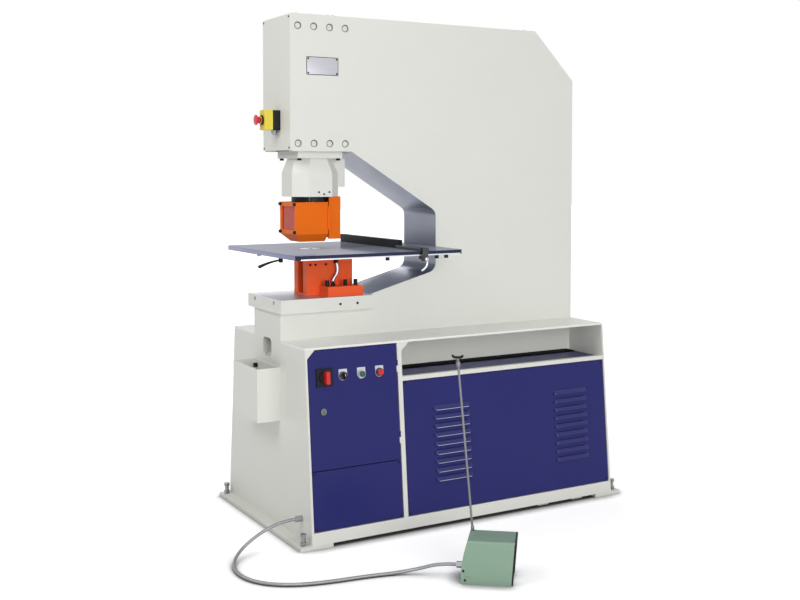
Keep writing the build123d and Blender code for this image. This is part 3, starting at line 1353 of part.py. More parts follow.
def hood_outline(shrink, reach):
    """The hood's side face: flat floor and top, bellied rear, open nose."""
    rear_foot = (shrink, shrink)
    rear_top = (SWITCH_REAR_LEAN + shrink, SWITCH_HEIGHT - shrink)
    belly = (
        (rear_foot[0] + rear_top[0]) / 2 - SWITCH_REAR_BELLY,
        (rear_foot[1] + rear_top[1]) / 2 + SWITCH_REAR_BELLY,
    )
    nose_foot = (SWITCH_LENGTH - SWITCH_NOSE_CUT + reach, shrink)
    nose_top = (SWITCH_LENGTH + reach, SWITCH_HEIGHT - shrink)
    points = [(x, 0, z) for x, z in (rear_top, nose_top, nose_foot, rear_foot)]
    curve = ThreePointArc((*[rear_foot[0]], 0, rear_foot[1]), (belly[0], 0, belly[1]), points[0])
    return make_face(Polyline(*points).edges() + [curve.edge()])


def foot_switch():
    half = SWITCH_WIDTH / 2
    shell = Pos(0, -half, 0) * extrude(hood_outline(0, 0), SWITCH_WIDTH, dir=(0, 1, 0))
    top_edges = shell.edges().filter_by(Axis.X).group_by(Axis.Z)[-1]
    shell = fillet(top_edges, SWITCH_TOP_EDGE)
    inner = SWITCH_WIDTH - 2 * SWITCH_WALL
    hollow = extrude(hood_outline(SWITCH_WALL, OVERRUN), inner, dir=(0, 1, 0))
    shell -= Pos(0, -inner / 2, 0) * hollow
    pin_half = half - SWITCH_WALL
    pin = rod((PEDAL_PIN_X, -pin_half, PEDAL_Z), (PEDAL_PIN_X, pin_half, PEDAL_Z), PEDAL_PIN_R)
    return switch_plane.location * (shell + pin)


def pedal():
    half = SWITCH_WIDTH / 2 - SWITCH_WALL - PEDAL_SIDE_GAP
    hub_r = PEDAL_PIN_R + PEDAL_T / 2
    plate = block(0, PEDAL_LENGTH, -half, half, -PEDAL_T / 2, PEDAL_T / 2)
    plate = Rot(0, -PEDAL_SLOPE, 0) * plate + rod((0, -half, 0), (0, half, 0), hub_r)
    plate -= rod((0, -half - OVERRUN, 0), (0, half + OVERRUN, 0), PEDAL_PIN_R + RUN_CLEAR)
    return switch_plane.location * (Pos(PEDAL_PIN_X, 0, PEDAL_Z) * plate)


def carry_rod():
    foot = (SWITCH_REAR_LEAN + ROD_INSET_X, SWITCH_WIDTH / 2 - ROD_INSET_Y, SWITCH_HEIGHT)
    top = (foot[0] - ROD_LEAN, foot[1], ROD_TOP_Z)
    bar = rod((foot[0], foot[1], foot[2] + ROD_FERRULE / 2), top, ROD_HANDLE_R)
    bar += rod(foot, (foot[0], foot[1], foot[2] + ROD_FERRULE), ROD_HANDLE_R * 1.5)
    half = ROD_CROSS / 2
    bar += rod((top[0] - half, top[1], top[2]), (top[0] + half, top[1], top[2]), ROD_HANDLE_R * 1.25)
    return switch_plane.location * bar


# Conduit from the base's front end to the foot switch
def switch_point(x, y, z):
    """A point of the foot switch's own frame, in the machine's frame."""
    place = switch_plane.location * Pos(x, y, z)
    return (place.position.X, place.position.Y, place.position.Z)


CONDUIT_START = (BASE_FRONT - GLAND_LENGTH, CONDUIT_EXIT_Y, CONDUIT_EXIT_Z)
SWITCH_GLAND_X = SWITCH_WALL
CONDUIT_END = switch_point(SWITCH_GLAND_X - SWITCH_GLAND_LENGTH, 0, SWITCH_GLAND_Z)
CONDUIT_ROUTE = [
    CONDUIT_START,
    (-764.0, CONDUIT_EXIT_Y, CONDUIT_EXIT_Z),
    (-828.0, -316.0, 76.0),
    (-890.0, -327.0, 52.0),
    (-944.0, -346.0, 24.0),
    (-988.0, -402.0, 8.0),
    (-1008.0, -478.0, CONDUIT_FLOOR_Z),
    (-1001.0, -562.0, CONDUIT_FLOOR_Z),
    (-956.0, -636.0, CONDUIT_FLOOR_Z),
    (-872.0, -690.0, CONDUIT_FLOOR_Z),
    (-762.0, -716.0, CONDUIT_FLOOR_Z),
    (-648.0, -730.0, CONDUIT_FLOOR_Z),
    (-545.0, -754.0, CONDUIT_FLOOR_Z),
    (-478.0, -784.0, 18.0),
    switch_point(SWITCH_GLAND_X - SWITCH_GLAND_LENGTH - CONDUIT_LEAD, 0, SWITCH_GLAND_Z),
    CONDUIT_END,
]


def route_radii(points):
    """Bend radii as large as the runs allow, one for each inner point."""
    radii = []
    for a, b, c in zip(points, points[1:], points[2:]):
        before = Vector(*b) - Vector(*a)
        after = Vector(*c) - Vector(*b)
        turn = before.get_angle(after)
        shorter = min(before.length, after.length)
        radii.append(ARC_SHARE * shorter / tan(radians(turn / 2)))
    return radii


def conduit():
    radii = route_radii(CONDUIT_ROUTE)
    path = FilletPolyline(*CONDUIT_ROUTE, radius=radii)
    tube = sweep(Plane(origin=path @ 0, z_dir=path % 0) * Circle(CONDUIT_R), path)
    print("conduit radii", [round(r) for r in radii])
    section = Circle(CONDUIT_R).area
    print("conduit length", round(path.length), "volume share", round(tube.volume / section / path.length, 4))
    return tube


def conduit_glands():
    base_end = rod((BASE_FRONT, CONDUIT_EXIT_Y, CONDUIT_EXIT_Z), CONDUIT_START, GLAND_R)
    switch_end = rod(switch_point(SWITCH_GLAND_X, 0, SWITCH_GLAND_Z), CONDUIT_END, GLAND_R)
    hood = Pos(0, -SWITCH_WIDTH / 2, 0) * extrude(hood_outline(0, 0), SWITCH_WIDTH, dir=(0, 1, 0))
    return Compound(children=[base_end, switch_end - switch_plane.location * hood])


NODES = {
    "base_floor_frame": floor_frame,
    "levelling_screws": levelling_screws,
    "base_front_plate": front_plate,
    "base_rear_plate": rear_plate,
    "base_deck": deck,
    "base_partition": partition,
    "base_far_panel": far_panel,
    "side_rail": side_rail,
    "electrical_door": electrical_door,
    "door_hinges": door_hinges,
    "lower_panel": lower_panel,
    "louvre_panel": louvre_panel,
    "panel_screws": panel_screws,
    "isolator_plate": isolator_plate,
    "isolator_handle": isolator_handle,
    "legend_plates": legend_plates,
    "selector_knob": selector_knob,
    "start_button": lambda: push_button(START_X),
    "stop_button": lambda: push_button(STOP_X),
    "door_lock": door_lock,
    "component_plate": component_plate,
    "oil_tank": oil_tank,
    "pump_motor": pump_motor,
    "hydraulic_pump": hydraulic_pump,
    "valve_block": valve_block,
    "hydraulic_hoses": hydraulic_hoses,
    "frame_plate_near": lambda: frame_side(-1),
    "frame_plate_far": lambda: frame_side(1),
    "throat_liner": throat_liner,
    "closing_plate": closing_plate,
    "head_bolts": head_bolts,
    "head_cover": head_cover,
    "estop_rear": lambda: stop_box(HEAD_FRONT - COVER_T, HEAD_FRONT - COVER_T - STOP_REAR_DEPTH, False),
    "estop_box": lambda: stop_box(
        HEAD_FRONT - COVER_T - STOP_REAR_DEPTH,
        HEAD_FRONT - COVER_T - STOP_REAR_DEPTH - STOP_FRONT_DEPTH,
        True,
    ),
    "estop_button": stop_button,
    "cylinder": cylinder,
    "guide_housing": guide_housing,
    "guide_collar": guide_collar,
    "ram": ram,
    "punch_nut": punch_nut,
    "punch": punch,
    "guard": guard,
    "guard_window": guard_window,
    "guard_bracket": guard_bracket,
    "bolster": bolster,
    "die_holder": die_holder,
    "die": die,
    "die_lever": lambda: hanging_lever(DIE_LEVER_PIVOT, DIE_LEVER_LENGTH, -DIE_LEVER_LEAN),
    "table_plate": table_plate,
    "gauge_bar": gauge_bar,
    "gauge_carriage": gauge_carriage,
    "gauge_lever": lambda: hanging_lever(GAUGE_LEVER_PIVOT, GAUGE_LEVER_LENGTH, -1),
    "table_lever": table_lever,
    "slug_bin": slug_bin,
    "cap_screws": cap_screws,
    "foot_switch": foot_switch,
    "foot_pedal": pedal,
    "carry_rod": carry_rod,
    "conduit_glands": conduit_glands,
    "conduit": conduit,
}

for node, make in NODES.items():
    save(node, make())
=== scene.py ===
"""Dressed scene of a deep-throat hydraulic punching machine with a foot switch.

Everything is in metres in the machine's own frame: X along the machine with the
punch head at -X, the doors at -Y, and Z up from the floor.
"""
import json
import logging
import math
from dataclasses import dataclass, field
from enum import Enum

import bmesh
import bpy
import numpy as np
from mathutils import Euler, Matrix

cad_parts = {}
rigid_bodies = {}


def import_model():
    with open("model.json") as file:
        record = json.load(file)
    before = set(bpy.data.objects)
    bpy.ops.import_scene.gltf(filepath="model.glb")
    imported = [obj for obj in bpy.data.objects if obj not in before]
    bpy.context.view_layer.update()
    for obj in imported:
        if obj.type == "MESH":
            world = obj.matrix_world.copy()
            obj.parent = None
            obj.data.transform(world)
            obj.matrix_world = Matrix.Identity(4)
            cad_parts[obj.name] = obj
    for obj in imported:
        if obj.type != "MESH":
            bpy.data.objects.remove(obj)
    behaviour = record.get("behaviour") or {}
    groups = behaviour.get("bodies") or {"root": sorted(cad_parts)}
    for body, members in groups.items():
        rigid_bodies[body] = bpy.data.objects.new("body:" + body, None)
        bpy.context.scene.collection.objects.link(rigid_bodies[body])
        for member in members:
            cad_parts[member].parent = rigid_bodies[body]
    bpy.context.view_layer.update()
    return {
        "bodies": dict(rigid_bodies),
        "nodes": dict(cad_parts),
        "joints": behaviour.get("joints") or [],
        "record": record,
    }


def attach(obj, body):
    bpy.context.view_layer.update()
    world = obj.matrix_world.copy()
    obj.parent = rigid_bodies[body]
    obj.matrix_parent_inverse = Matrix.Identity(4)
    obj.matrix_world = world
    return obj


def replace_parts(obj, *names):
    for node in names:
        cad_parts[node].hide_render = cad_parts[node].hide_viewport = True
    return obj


LOG = logging.getLogger("punching_machine")
Colour = tuple[float, float, float]
Point = tuple[float, float, float]
Pair = tuple[float, float]
Profile = tuple[tuple[float, ...], ...]

FRONT: Point = (-1.0, 0.0, 0.0)
REAR: Point = (1.0, 0.0, 0.0)
NEAR: Point = (0.0, -1.0, 0.0)
FAR: Point = (0.0, 1.0, 0.0)
UP: Point = (0.0, 0.0, 1.0)
DOWN: Point = (0.0, 0.0, -1.0)
WHITE = (1.0, 1.0, 1.0, 1.0)
HEX = 6


class Slot(Enum):
    """The record's material slots that new pieces take their finish from."""

    CREAM = "cream_paint"
    BLUE = "blue_paint"
    ORANGE = "orange_paint"
    GREEN = "green_paint"
    GROUND = "ground_steel"
    TABLE = "polished_table"
    TOOL = "tool_steel"
    BRIGHT = "bright_steel"
    BLACK_STEEL = "black_steel"
    BLACK_PLASTIC = "black_plastic"
    RED = "red_plastic"
    GREEN_BUTTON = "green_plastic"
    YELLOW = "yellow_plastic"
    WINDOW = "tinted_window"
    CONDUIT = "grey_conduit"
    MOTOR = "motor_grey"
    HOSE = "hose_rubber"
    SILVER = "silver_plate"


class Axis(Enum):
    """The direction that the grain of a ground metal runs in, as noise scales."""

    ALONG_X = (1.5, 260.0, 260.0)
    ALONG_Y = (260.0, 1.5, 260.0)
    ALONG_Z = (260.0, 260.0, 1.5)


class Kind(Enum):
    """The socket types of the shared groups."""

    VECTOR = "NodeSocketVector"
    COLOUR = "NodeSocketColor"
    NUMBER = "NodeSocketFloat"


# Shader nodes


class Wires:
    """A node tree, with short ways to add nodes and join them."""

    def __init__(self, tree: bpy.types.NodeTree) -> None:
        """Takes the tree to work in.

        Args:
            tree: a node tree.
        """
        self.tree = tree

    def fill(self, node: bpy.types.Node, values: dict) -> bpy.types.Node:
        """Joins sockets to a node's inputs, or sets the inputs' own values.

        Args:
            node: the node.
            values: a socket or a value for each input's name or number.

        Returns:
            The node.
        """
        for key, value in values.items():
            if isinstance(value, bpy.types.NodeSocket):
                self.tree.links.new(value, node.inputs[key])
            else:
                node.inputs[key].default_value = value
        return node

    def add(self, kind: str, values: dict, **settings: object) -> bpy.types.Node:
        """Adds a node.

        Args:
            kind: the node's type, without its prefix.
            values: what its inputs take.
            settings: the node's own settings.

        Returns:
            The node.
        """
        node = self.tree.nodes.new("ShaderNode" + kind)
        for label, setting in settings.items():
            setattr(node, label, setting)
        return self.fill(node, values)

    def math(self, kind: str, a: object, b: object = 0.0) -> bpy.types.NodeSocket:
        """Works on two sockets or numbers.

        Args:
            kind: the operation.
            a: the first one.
            b: the second one.

        Returns:
            The result's socket.
        """
        return self.add("Math", {0: a, 1: b}, operation=kind).outputs[0]

    def noise(self, vector: object, scale: object, detail: float) -> bpy.types.NodeSocket:
        """A noise on a vector.

        Args:
            vector: where it is read.
            scale: its scale.
            detail: its number of finer layers.

        Returns:
            The noise's socket, from nought to one.
        """
        values = {"Vector": vector, "Scale": scale, "Detail": detail}
        return self.add("TexNoise", values).outputs[0]

    def swing(self, wave: object, spread: object) -> bpy.types.NodeSocket:
        """Centres a noise on nought and scales it.

        Args:
            wave: the noise.
            spread: the scale.

        Returns:
            The swing's socket.
        """
        return self.math("MULTIPLY", self.math("SUBTRACT", wave, 0.5), spread)

    def toned(self, colour: object, swing: object) -> bpy.types.NodeSocket:
        """Scales a colour by one plus a swing.

        Args:
            colour: the colour.
            swing: the swing.

        Returns:
            The new colour's socket.
        """
        values = {0: colour, "Scale": self.math("ADD", swing, 1.0)}
        return self.add("VectorMath", values, operation="SCALE").outputs[0]

    def mix(self, mask: object, first: object, second: object) -> bpy.types.NodeSocket:
        """Goes from a first colour to a second one by a mask.

        Args:
            mask: nought for the first colour, one for the second.
            first: the first colour.
            second: the second colour.

        Returns:
            The mixed colour's socket.
        """
        return self.add("Mix", {0: mask, 6: first, 7: second}, data_type="RGBA").outputs[2]

    def span(self, value: object, low: float, high: float, start: Pair = (0.0, 1.0),
             shape: str = "LINEAR") -> bpy.types.NodeSocket:
        """Maps a value onto a new range.

        Args:
            value: the value.
            low: the new range's start.
            high: the new range's end.
            start: the value's own range.
            shape: how the way between them runs.

        Returns:
            The mapped value's socket.
        """
        values = {"Value": value, "From Min": start[0], "From Max": start[1],
                  "To Min": low, "To Max": high}
        return self.add("MapRange", values, interpolation_type=shape).outputs["Result"]


class Surfaces:
    """The effects that several finishes share, each one a node group built once."""

    SKIN = {"Colour": Kind.COLOUR, "Roughness": Kind.NUMBER, "Height": Kind.NUMBER}
    CLOUD = (4.0, 3.0)
    STREAK = (22.0, 4.0)
    CLOUD_SHARE = 0.7
    STREAK_SHARE = 0.3
    GRAIN = (1.0, 2.0)
    SMUDGE = (7.0, 4.0)
    GRAIN_GLOSS = 0.25
    PATCH = (11.0, 5.0)

    def __init__(self) -> None:
        """Builds the four groups."""
        self.paint = self._paint_skin()
        self.grain = self._brushed_grain()
        self.dust = self._settled_dust()
        self.facing = self._facing_mask()

    @staticmethod
    def _group(name: str, inputs: dict[str, Kind], outputs: dict[str, Kind]) -> tuple:
        """Makes an empty group with named sockets.

        Args:
            name: the group's name.
            inputs: the type of each input.
            outputs: the type of each output.

        Returns:
            The group's wires, its input sockets and its output node.
        """
        group = bpy.data.node_groups.new(name, "ShaderNodeTree")
        for way, sockets in (("INPUT", inputs), ("OUTPUT", outputs)):
            for label, kind in sockets.items():
                group.interface.new_socket(name=label, in_out=way, socket_type=kind.value)
        source = group.nodes.new("NodeGroupInput")
        return Wires(group), source.outputs, group.nodes.new("NodeGroupOutput")

    def _paint_skin(self) -> bpy.types.NodeTree:
        """Sprayed paint: cloudy tone, uneven gloss and a fine orange-peel height.

        Returns:
            A group that scales its colour by one plus the tone spread times a
            slow noise, and adds a quicker noise to the roughness.
        """
        wires, given, sink = self._group("paint_skin", {
            "Vector": Kind.VECTOR, "Colour": Kind.COLOUR, "Tone Spread": Kind.NUMBER,
            "Roughness": Kind.NUMBER, "Gloss Spread": Kind.NUMBER,
            "Peel Scale": Kind.NUMBER}, self.SKIN)
        cloud = wires.noise(given["Vector"], *self.CLOUD)
        streak = wires.noise(given["Vector"], *self.STREAK)
        mixed = wires.math("ADD", wires.math("MULTIPLY", cloud, self.CLOUD_SHARE),
                           wires.math("MULTIPLY", streak, self.STREAK_SHARE))
        tone = wires.swing(mixed, given["Tone Spread"])
        gloss = wires.swing(streak, given["Gloss Spread"])
        wires.fill(sink, {
            "Colour": wires.toned(given["Colour"], tone),
            "Roughness": wires.math("ADD", given["Roughness"], gloss),
            "Height": wires.noise(given["Vector"], given["Peel Scale"], 1.0)})
        return wires.tree

    def _brushed_grain(self) -> bpy.types.NodeTree:
        """Ground metal: noise drawn out along the grain, with slow smudges.

        Returns:
            A group that scales its colour by the grain and adds grain and
            smudge to the roughness.
        """
        wires, given, sink = self._group("brushed_grain", {
            "Vector": Kind.VECTOR, "Stretch": Kind.VECTOR, "Colour": Kind.COLOUR,
            "Tone Spread": Kind.NUMBER, "Roughness": Kind.NUMBER,
            "Smudge": Kind.NUMBER}, self.SKIN)
        drawn = wires.add("VectorMath", {0: given["Vector"], 1: given["Stretch"]},
                          operation="MULTIPLY").outputs[0]
        grain = wires.noise(drawn, *self.GRAIN)
        tone = wires.swing(grain, given["Tone Spread"])
        rub = wires.swing(wires.noise(given["Vector"], *self.SMUDGE), given["Smudge"])
        rough = wires.math("ADD", given["Roughness"], rub)
        lines = wires.math("MULTIPLY", tone, self.GRAIN_GLOSS)
        wires.fill(sink, {
            "Colour": wires.toned(given["Colour"], tone),
            "Roughness": wires.math("ADD", rough, lines), "Height": grain})
        return wires.tree

    def _settled_dust(self) -> bpy.types.NodeTree:
        """Dust on faces that look up: the upward share of the normal times a noise.

        Returns:
            A group that mixes its colour towards a dust colour by that mask.
        """
        wires, given, sink = self._group("settled_dust", {
            "Vector": Kind.VECTOR, "Colour": Kind.COLOUR, "Dust": Kind.COLOUR,
            "Amount": Kind.NUMBER}, {"Colour": Kind.COLOUR})
        normal = wires.add("NewGeometry", {}).outputs["Normal"]
        upward = wires.add("SeparateXYZ", {0: normal}).outputs["Z"]
        patch = wires.noise(given["Vector"], *self.PATCH)
        cover = wires.math("MULTIPLY", wires.math("MAXIMUM", upward, 0.0), patch)
        mask = wires.math("MULTIPLY", cover, given["Amount"])
        wires.fill(sink, {"Colour": wires.mix(mask, given["Colour"], given["Dust"])})
        return wires.tree

    def _facing_mask(self) -> bpy.types.NodeTree:
        """Faces square to a direction: one where the normal's share along it is over a limit.

        Returns:
            A group that puts out that mask; with Both Ways at one, faces that
            look the other way count too.
        """
        wires, given, sink = self._group("facing_mask", {
            "Normal": Kind.VECTOR, "Direction": Kind.VECTOR, "Limit": Kind.NUMBER,
            "Both Ways": Kind.NUMBER}, {"Mask": Kind.NUMBER})
        share = wires.add("VectorMath", {0: given["Normal"], 1: given["Direction"]},
                          operation="DOT_PRODUCT").outputs["Value"]
        back = wires.math("MULTIPLY", wires.math("ABSOLUTE", share), given["Both Ways"])
        most = wires.math("MAXIMUM", share, back)
        wires.fill(sink, {"Mask": wires.math("GREATER_THAN", most, given["Limit"])})
        return wires.tree


def blank_material(name: str) -> tuple:
    """Makes a material with one Principled shader.

    Args:
        name: the material's name.

    Returns:
        The material, its wires, the shader and the coordinate node's sockets.
    """
    material = bpy.data.materials.new(name)
    material.use_nodes = True
    wires = Wires(material.node_tree)
    shader = wires.tree.nodes["Principled BSDF"]
    return material, wires, shader, wires.add("TexCoord", {}).outputs


# Finishes

# The shader's constant inputs, and the finish's field that each one takes
CONSTANTS = {
    "Metallic": "metallic", "Specular IOR Level": "shine", "Coat Weight": "coat",
    "Coat Roughness": "coat_roughness", "Transmission Weight": "passing", "IOR": "ior"}


@dataclass(frozen=True)
class Finish:
    """What the plain finishes share: a textured colour, a gloss and a fine bump."""

    name: str
    colour: Colour
    roughness: float = 0.35
    tone_spread: float = 0.08
    gloss_spread: float = 0.1
    fine_scale: float = 900.0
    metallic: float = 0.0
    shine: float = 0.5
    bump: float = 0.08
    depth: float = 0.0002
    dust: float = 0.0
    dust_colour: Colour = (0.45, 0.43, 0.39)

    def skin(self, wires: Wires, surfaces: Surfaces, place: object) -> bpy.types.Node:
        """Adds the group that gives colour, roughness and height.

        Args:
            wires: the material's wires.
            surfaces: the shared groups.
            place: the Object coordinate socket.

        Returns:
            The group's node.
        """
        return wires.add("Group", {
            "Vector": place, "Colour": (*self.colour, 1.0), "Tone Spread": self.tone_spread,
            "Roughness": self.roughness, "Gloss Spread": self.gloss_spread,
            "Peel Scale": self.fine_scale}, node_tree=surfaces.paint)

    def build(self, surfaces: Surfaces) -> bpy.types.Material:
        """Makes the material from its group.

        Args:
            surfaces: the shared groups.

        Returns:
            The material.
        """
        material, wires, shader, places = blank_material(self.name)
        skin = self.skin(wires, surfaces, places["Object"])
        colour = skin.outputs["Colour"]
        if self.dust:
            colour = wires.add("Group", {
                "Vector": places["Object"], "Colour": colour, "Amount": self.dust,
                "Dust": (*self.dust_colour, 1.0)}, node_tree=surfaces.dust).outputs["Colour"]
        wires.fill(shader, {"Base Color": colour, "Roughness": skin.outputs["Roughness"]})
        wires.fill(shader, {socket: getattr(self, name) for socket, name in CONSTANTS.items()
                            if hasattr(self, name)})
        if self.bump:
            height = wires.add("Bump", {"Height": skin.outputs["Height"],
                                        "Strength": self.bump, "Distance": self.depth})
            wires.fill(shader, {"Normal": height.outputs["Normal"]})
        return material


@dataclass(frozen=True)
class Plastic(Finish):
    """Moulded plastic or rubber with a fine texture."""


@dataclass(frozen=True)
class Paint(Finish):
    """Sprayed paint on steel, with a little dust on what looks up."""

    roughness: float = 0.38
    tone_spread: float = 0.05
    gloss_spread: float = 0.12
    fine_scale: float = 420.0
    shine: float = 0.22
    bump: float = 0.10
    depth: float = 0.0004
    dust: float = 0.10
    coat: float = 0.04
    coat_roughness: float = 0.2


@dataclass(frozen=True)
class Metal(Finish):
    """Ground, polished or blackened bare metal."""

    roughness: float = 0.3
    tone_spread: float = 0.3
    metallic: float = 1.0
    bump: float = 0.12
    axis: Axis = Axis.ALONG_X
    smudge: float = 0.15

    def skin(self, wires: Wires, surfaces: Surfaces, place: object) -> bpy.types.Node:
        """Adds the group of the metal's grain.

        Args:
            wires: the material's wires.
            surfaces: the shared groups.
            place: the Object coordinate socket.

        Returns:
            The group's node.
        """
        return wires.add("Group", {
            "Vector": place, "Stretch": self.axis.value, "Colour": (*self.colour, 1.0),
            "Tone Spread": self.tone_spread, "Roughness": self.roughness,
            "Smudge": self.smudge}, node_tree=surfaces.grain)


@dataclass(frozen=True)
class Window(Finish):
    """Clear tinted sheet with wiped smudges."""

    roughness: float = 0.08
    tone_spread: float = 0.1
    gloss_spread: float = 0.08
    fine_scale: float = 200.0
    bump: float = 0.0
    passing: float = 0.6
    ior: float = 1.2


@dataclass(frozen=True)
class PartBare:
    """Bare metal on the faces that look one way and paint or a darker metal on the rest."""

    name: str
    bare: Metal
    rest: Metal | Paint
    direction: Point
    both_ways: bool = False
    edge_tint: Colour = (1.0, 1.0, 1.0)
    shine: float = 0.22
    limit: float = 0.9

    def build(self, surfaces: Surfaces) -> bpy.types.Material:
        """Makes the material from both finishes' groups, mixed by the facing mask.

        Args:
            surfaces: the shared groups.

        Returns:
            The material.
        """
        material, wires, shader, places = blank_material(self.name)
        bare = self.bare.skin(wires, surfaces, places["Object"]).outputs
        rest = self.rest.skin(wires, surfaces, places["Object"]).outputs
        mask = wires.add("Group", {
            "Normal": places["Normal"], "Direction": self.direction, "Limit": self.limit,
            "Both Ways": float(self.both_ways)}, node_tree=surfaces.facing).outputs["Mask"]
        wires.fill(shader, {
            "Base Color": wires.mix(mask, rest["Colour"], bare["Colour"]),
            "Roughness": wires.mix(mask, rest["Roughness"], bare["Roughness"]),
            "Metallic": wires.span(mask, self.rest.metallic, self.bare.metallic),
            "Specular IOR Level": self.shine, "Specular Tint": (*self.edge_tint, 1.0)})
        return material


CREAM_COLOUR: Colour = (0.80, 0.805, 0.755)
BLUE_COLOUR: Colour = (0.022, 0.024, 0.150)
CREAM = Paint("cream_paint", CREAM_COLOUR)
CREAM_RIM = Metal("painted_rim", CREAM_COLOUR, roughness=0.4, tone_spread=0.04, metallic=0.0)
LINER = Metal("liner_steel", (0.28, 0.295, 0.35), roughness=0.40, axis=Axis.ALONG_Y,
              tone_spread=0.18, metallic=0.75)
BOLSTER_TOP = Metal("bolster_steel", (0.55, 0.55, 0.57), roughness=0.42, tone_spread=0.2)
TABLE_TOP = Metal("table_steel", (0.42, 0.46, 0.58), roughness=0.08, tone_spread=0.2,
                  smudge=0.08, metallic=0.5)
# Painted dark reflection: a near-black copy of the table's steel for its side faces
TABLE_SIDE_DARK_REFLECTION = Metal("table_side_painted_reflection", (0.030, 0.034, 0.065), roughness=0.25, metallic=0.8)

FINISHES: dict[Slot, Finish] = {
    Slot.CREAM: CREAM,
    Slot.BLUE: Paint("blue_paint", BLUE_COLOUR, roughness=0.34, tone_spread=0.16, dust=0.02,
                     shine=0.12),
    Slot.ORANGE: Paint("orange_paint", (0.88, 0.165, 0.006), roughness=0.36, tone_spread=0.12,
                       dust=0.01, shine=0.10),
    Slot.GREEN: Paint("green_paint", (0.27, 0.40, 0.305), roughness=0.40, tone_spread=0.12,
                      bump=0.25, coat=0.2, shine=0.35),
    Slot.GROUND: Metal("ground_steel", (0.40, 0.41, 0.44), roughness=0.36, axis=Axis.ALONG_Y),
    Slot.TABLE: TABLE_TOP,
    Slot.TOOL: Metal("tool_steel", (0.32, 0.33, 0.35), axis=Axis.ALONG_Z),
    Slot.BRIGHT: Metal("bright_steel", (0.44, 0.45, 0.49), roughness=0.22, axis=Axis.ALONG_Z,
                       tone_spread=0.12),
    Slot.BLACK_STEEL: Metal("black_steel", (0.012, 0.012, 0.014), roughness=0.42, metallic=0.3,
                            shine=0.2),
    Slot.BLACK_PLASTIC: Plastic("black_plastic", (0.010, 0.010, 0.012), roughness=0.45,
                                shine=0.18),
    Slot.RED: Plastic("red_plastic", (0.66, 0.010, 0.018), roughness=0.28),
    Slot.GREEN_BUTTON: Plastic("green_plastic", (0.012, 0.085, 0.06), roughness=0.3),
    Slot.YELLOW: Plastic("yellow_plastic", (0.78, 0.62, 0.035), roughness=0.4),
    Slot.WINDOW: Window("tinted_window", (0.84, 0.15, 0.11)),
    Slot.CONDUIT: Metal("grey_conduit", (0.30, 0.31, 0.32), roughness=0.36, metallic=0.7),
    Slot.MOTOR: Paint("motor_grey", (0.22, 0.24, 0.27), roughness=0.5, tone_spread=0.2),
    Slot.HOSE: Plastic("hose_rubber", (0.014, 0.014, 0.014), roughness=0.6),
    Slot.SILVER: Metal("silver_plate", (0.48, 0.48, 0.52), roughness=0.45, tone_spread=0.12,
                       metallic=0.6),
}

# Finishes of single nodes and pieces, which go before those of their slots
OWN_FINISHES: dict[str, PartBare | Finish] = {
    # Painted light: the deck takes a lighter copy of the cream paint for its brighter lit top
    "base_deck": Paint("deck_lit_cream_paint", (0.90, 0.905, 0.855)),
    "throat_liner": PartBare("painted_rim_liner", CREAM_RIM, LINER, FAR, both_ways=True),
    "bolster": PartBare("bolster_bare_top", BOLSTER_TOP, CREAM, UP),
    # Painted dark reflection on the table's sides, polished steel on its top
    "table_plate": PartBare("table_polished_top", TABLE_TOP, TABLE_SIDE_DARK_REFLECTION, UP, both_ways=True,
                            edge_tint=(0.45, 0.46, 0.50), shine=0.0),
    "table_end": Metal("table_end_steel", (0.17, 0.175, 0.28), axis=Axis.ALONG_Y,
                       tone_spread=0.2),
    # Painted highlight: a pale copy of the table's steel for its lower near rim
    "table_rim_highlight": Metal("table_rim_highlight_steel", (0.66, 0.67, 0.72), tone_spread=0.2),
    "die_holder": Paint("holder_orange_paint", (0.98, 0.133, 0.036), roughness=0.36,
                        tone_spread=0.12, dust=0.01, shine=0.10),
    "carry_rod_bar": Metal("rod_steel", (0.17, 0.17, 0.18), axis=Axis.ALONG_Z),
    "louvre_hoods": Paint("hood_blue_paint", BLUE_COLOUR, roughness=0.30, tone_spread=0.16,
                          dust=0.02, coat=0.12, shine=0.25),
    # Painted highlight: a pale steel for the left louvre group's lips
    "louvre_highlight_lips": Metal("painted_highlight_lip_steel", (0.55, 0.56, 0.64), roughness=0.35, tone_spread=0.5,
                         smudge=0.3),
    "door_lock": Metal("lock_steel", (0.13, 0.14, 0.135), roughness=0.34, tone_spread=0.2),
    "levelling_screws": Metal("levelling_steel", (0.27, 0.27, 0.27), axis=Axis.ALONG_Z),
    "gauge_bar": Metal("bar_black_steel", (0.007, 0.007, 0.010), roughness=0.5, metallic=0.0,
                       shine=0.15),
    "gauge_carriage": Metal("carriage_steel", (0.055, 0.056, 0.062), roughness=0.34,
                            metallic=0.6),
    # Painted shadow: near-black for the sheet under the deck's shadow
    "recess_shade_sheet": Plastic("painted_shade_black", (0.005, 0.005, 0.006), roughness=0.85, shine=0.05),
    # Painted shade: dark grey for the rings in the bolt recesses' gaps
    "bolt_shade_rings": Metal("shade_ring_steel", (0.19, 0.19, 0.185), roughness=0.5, tone_spread=0.2,
                          metallic=0.3, shine=0.2),
    "selector_pointer": Plastic("pointer_white", (0.75, 0.75, 0.73), roughness=0.4),
}


# Surfaces worked out on grids


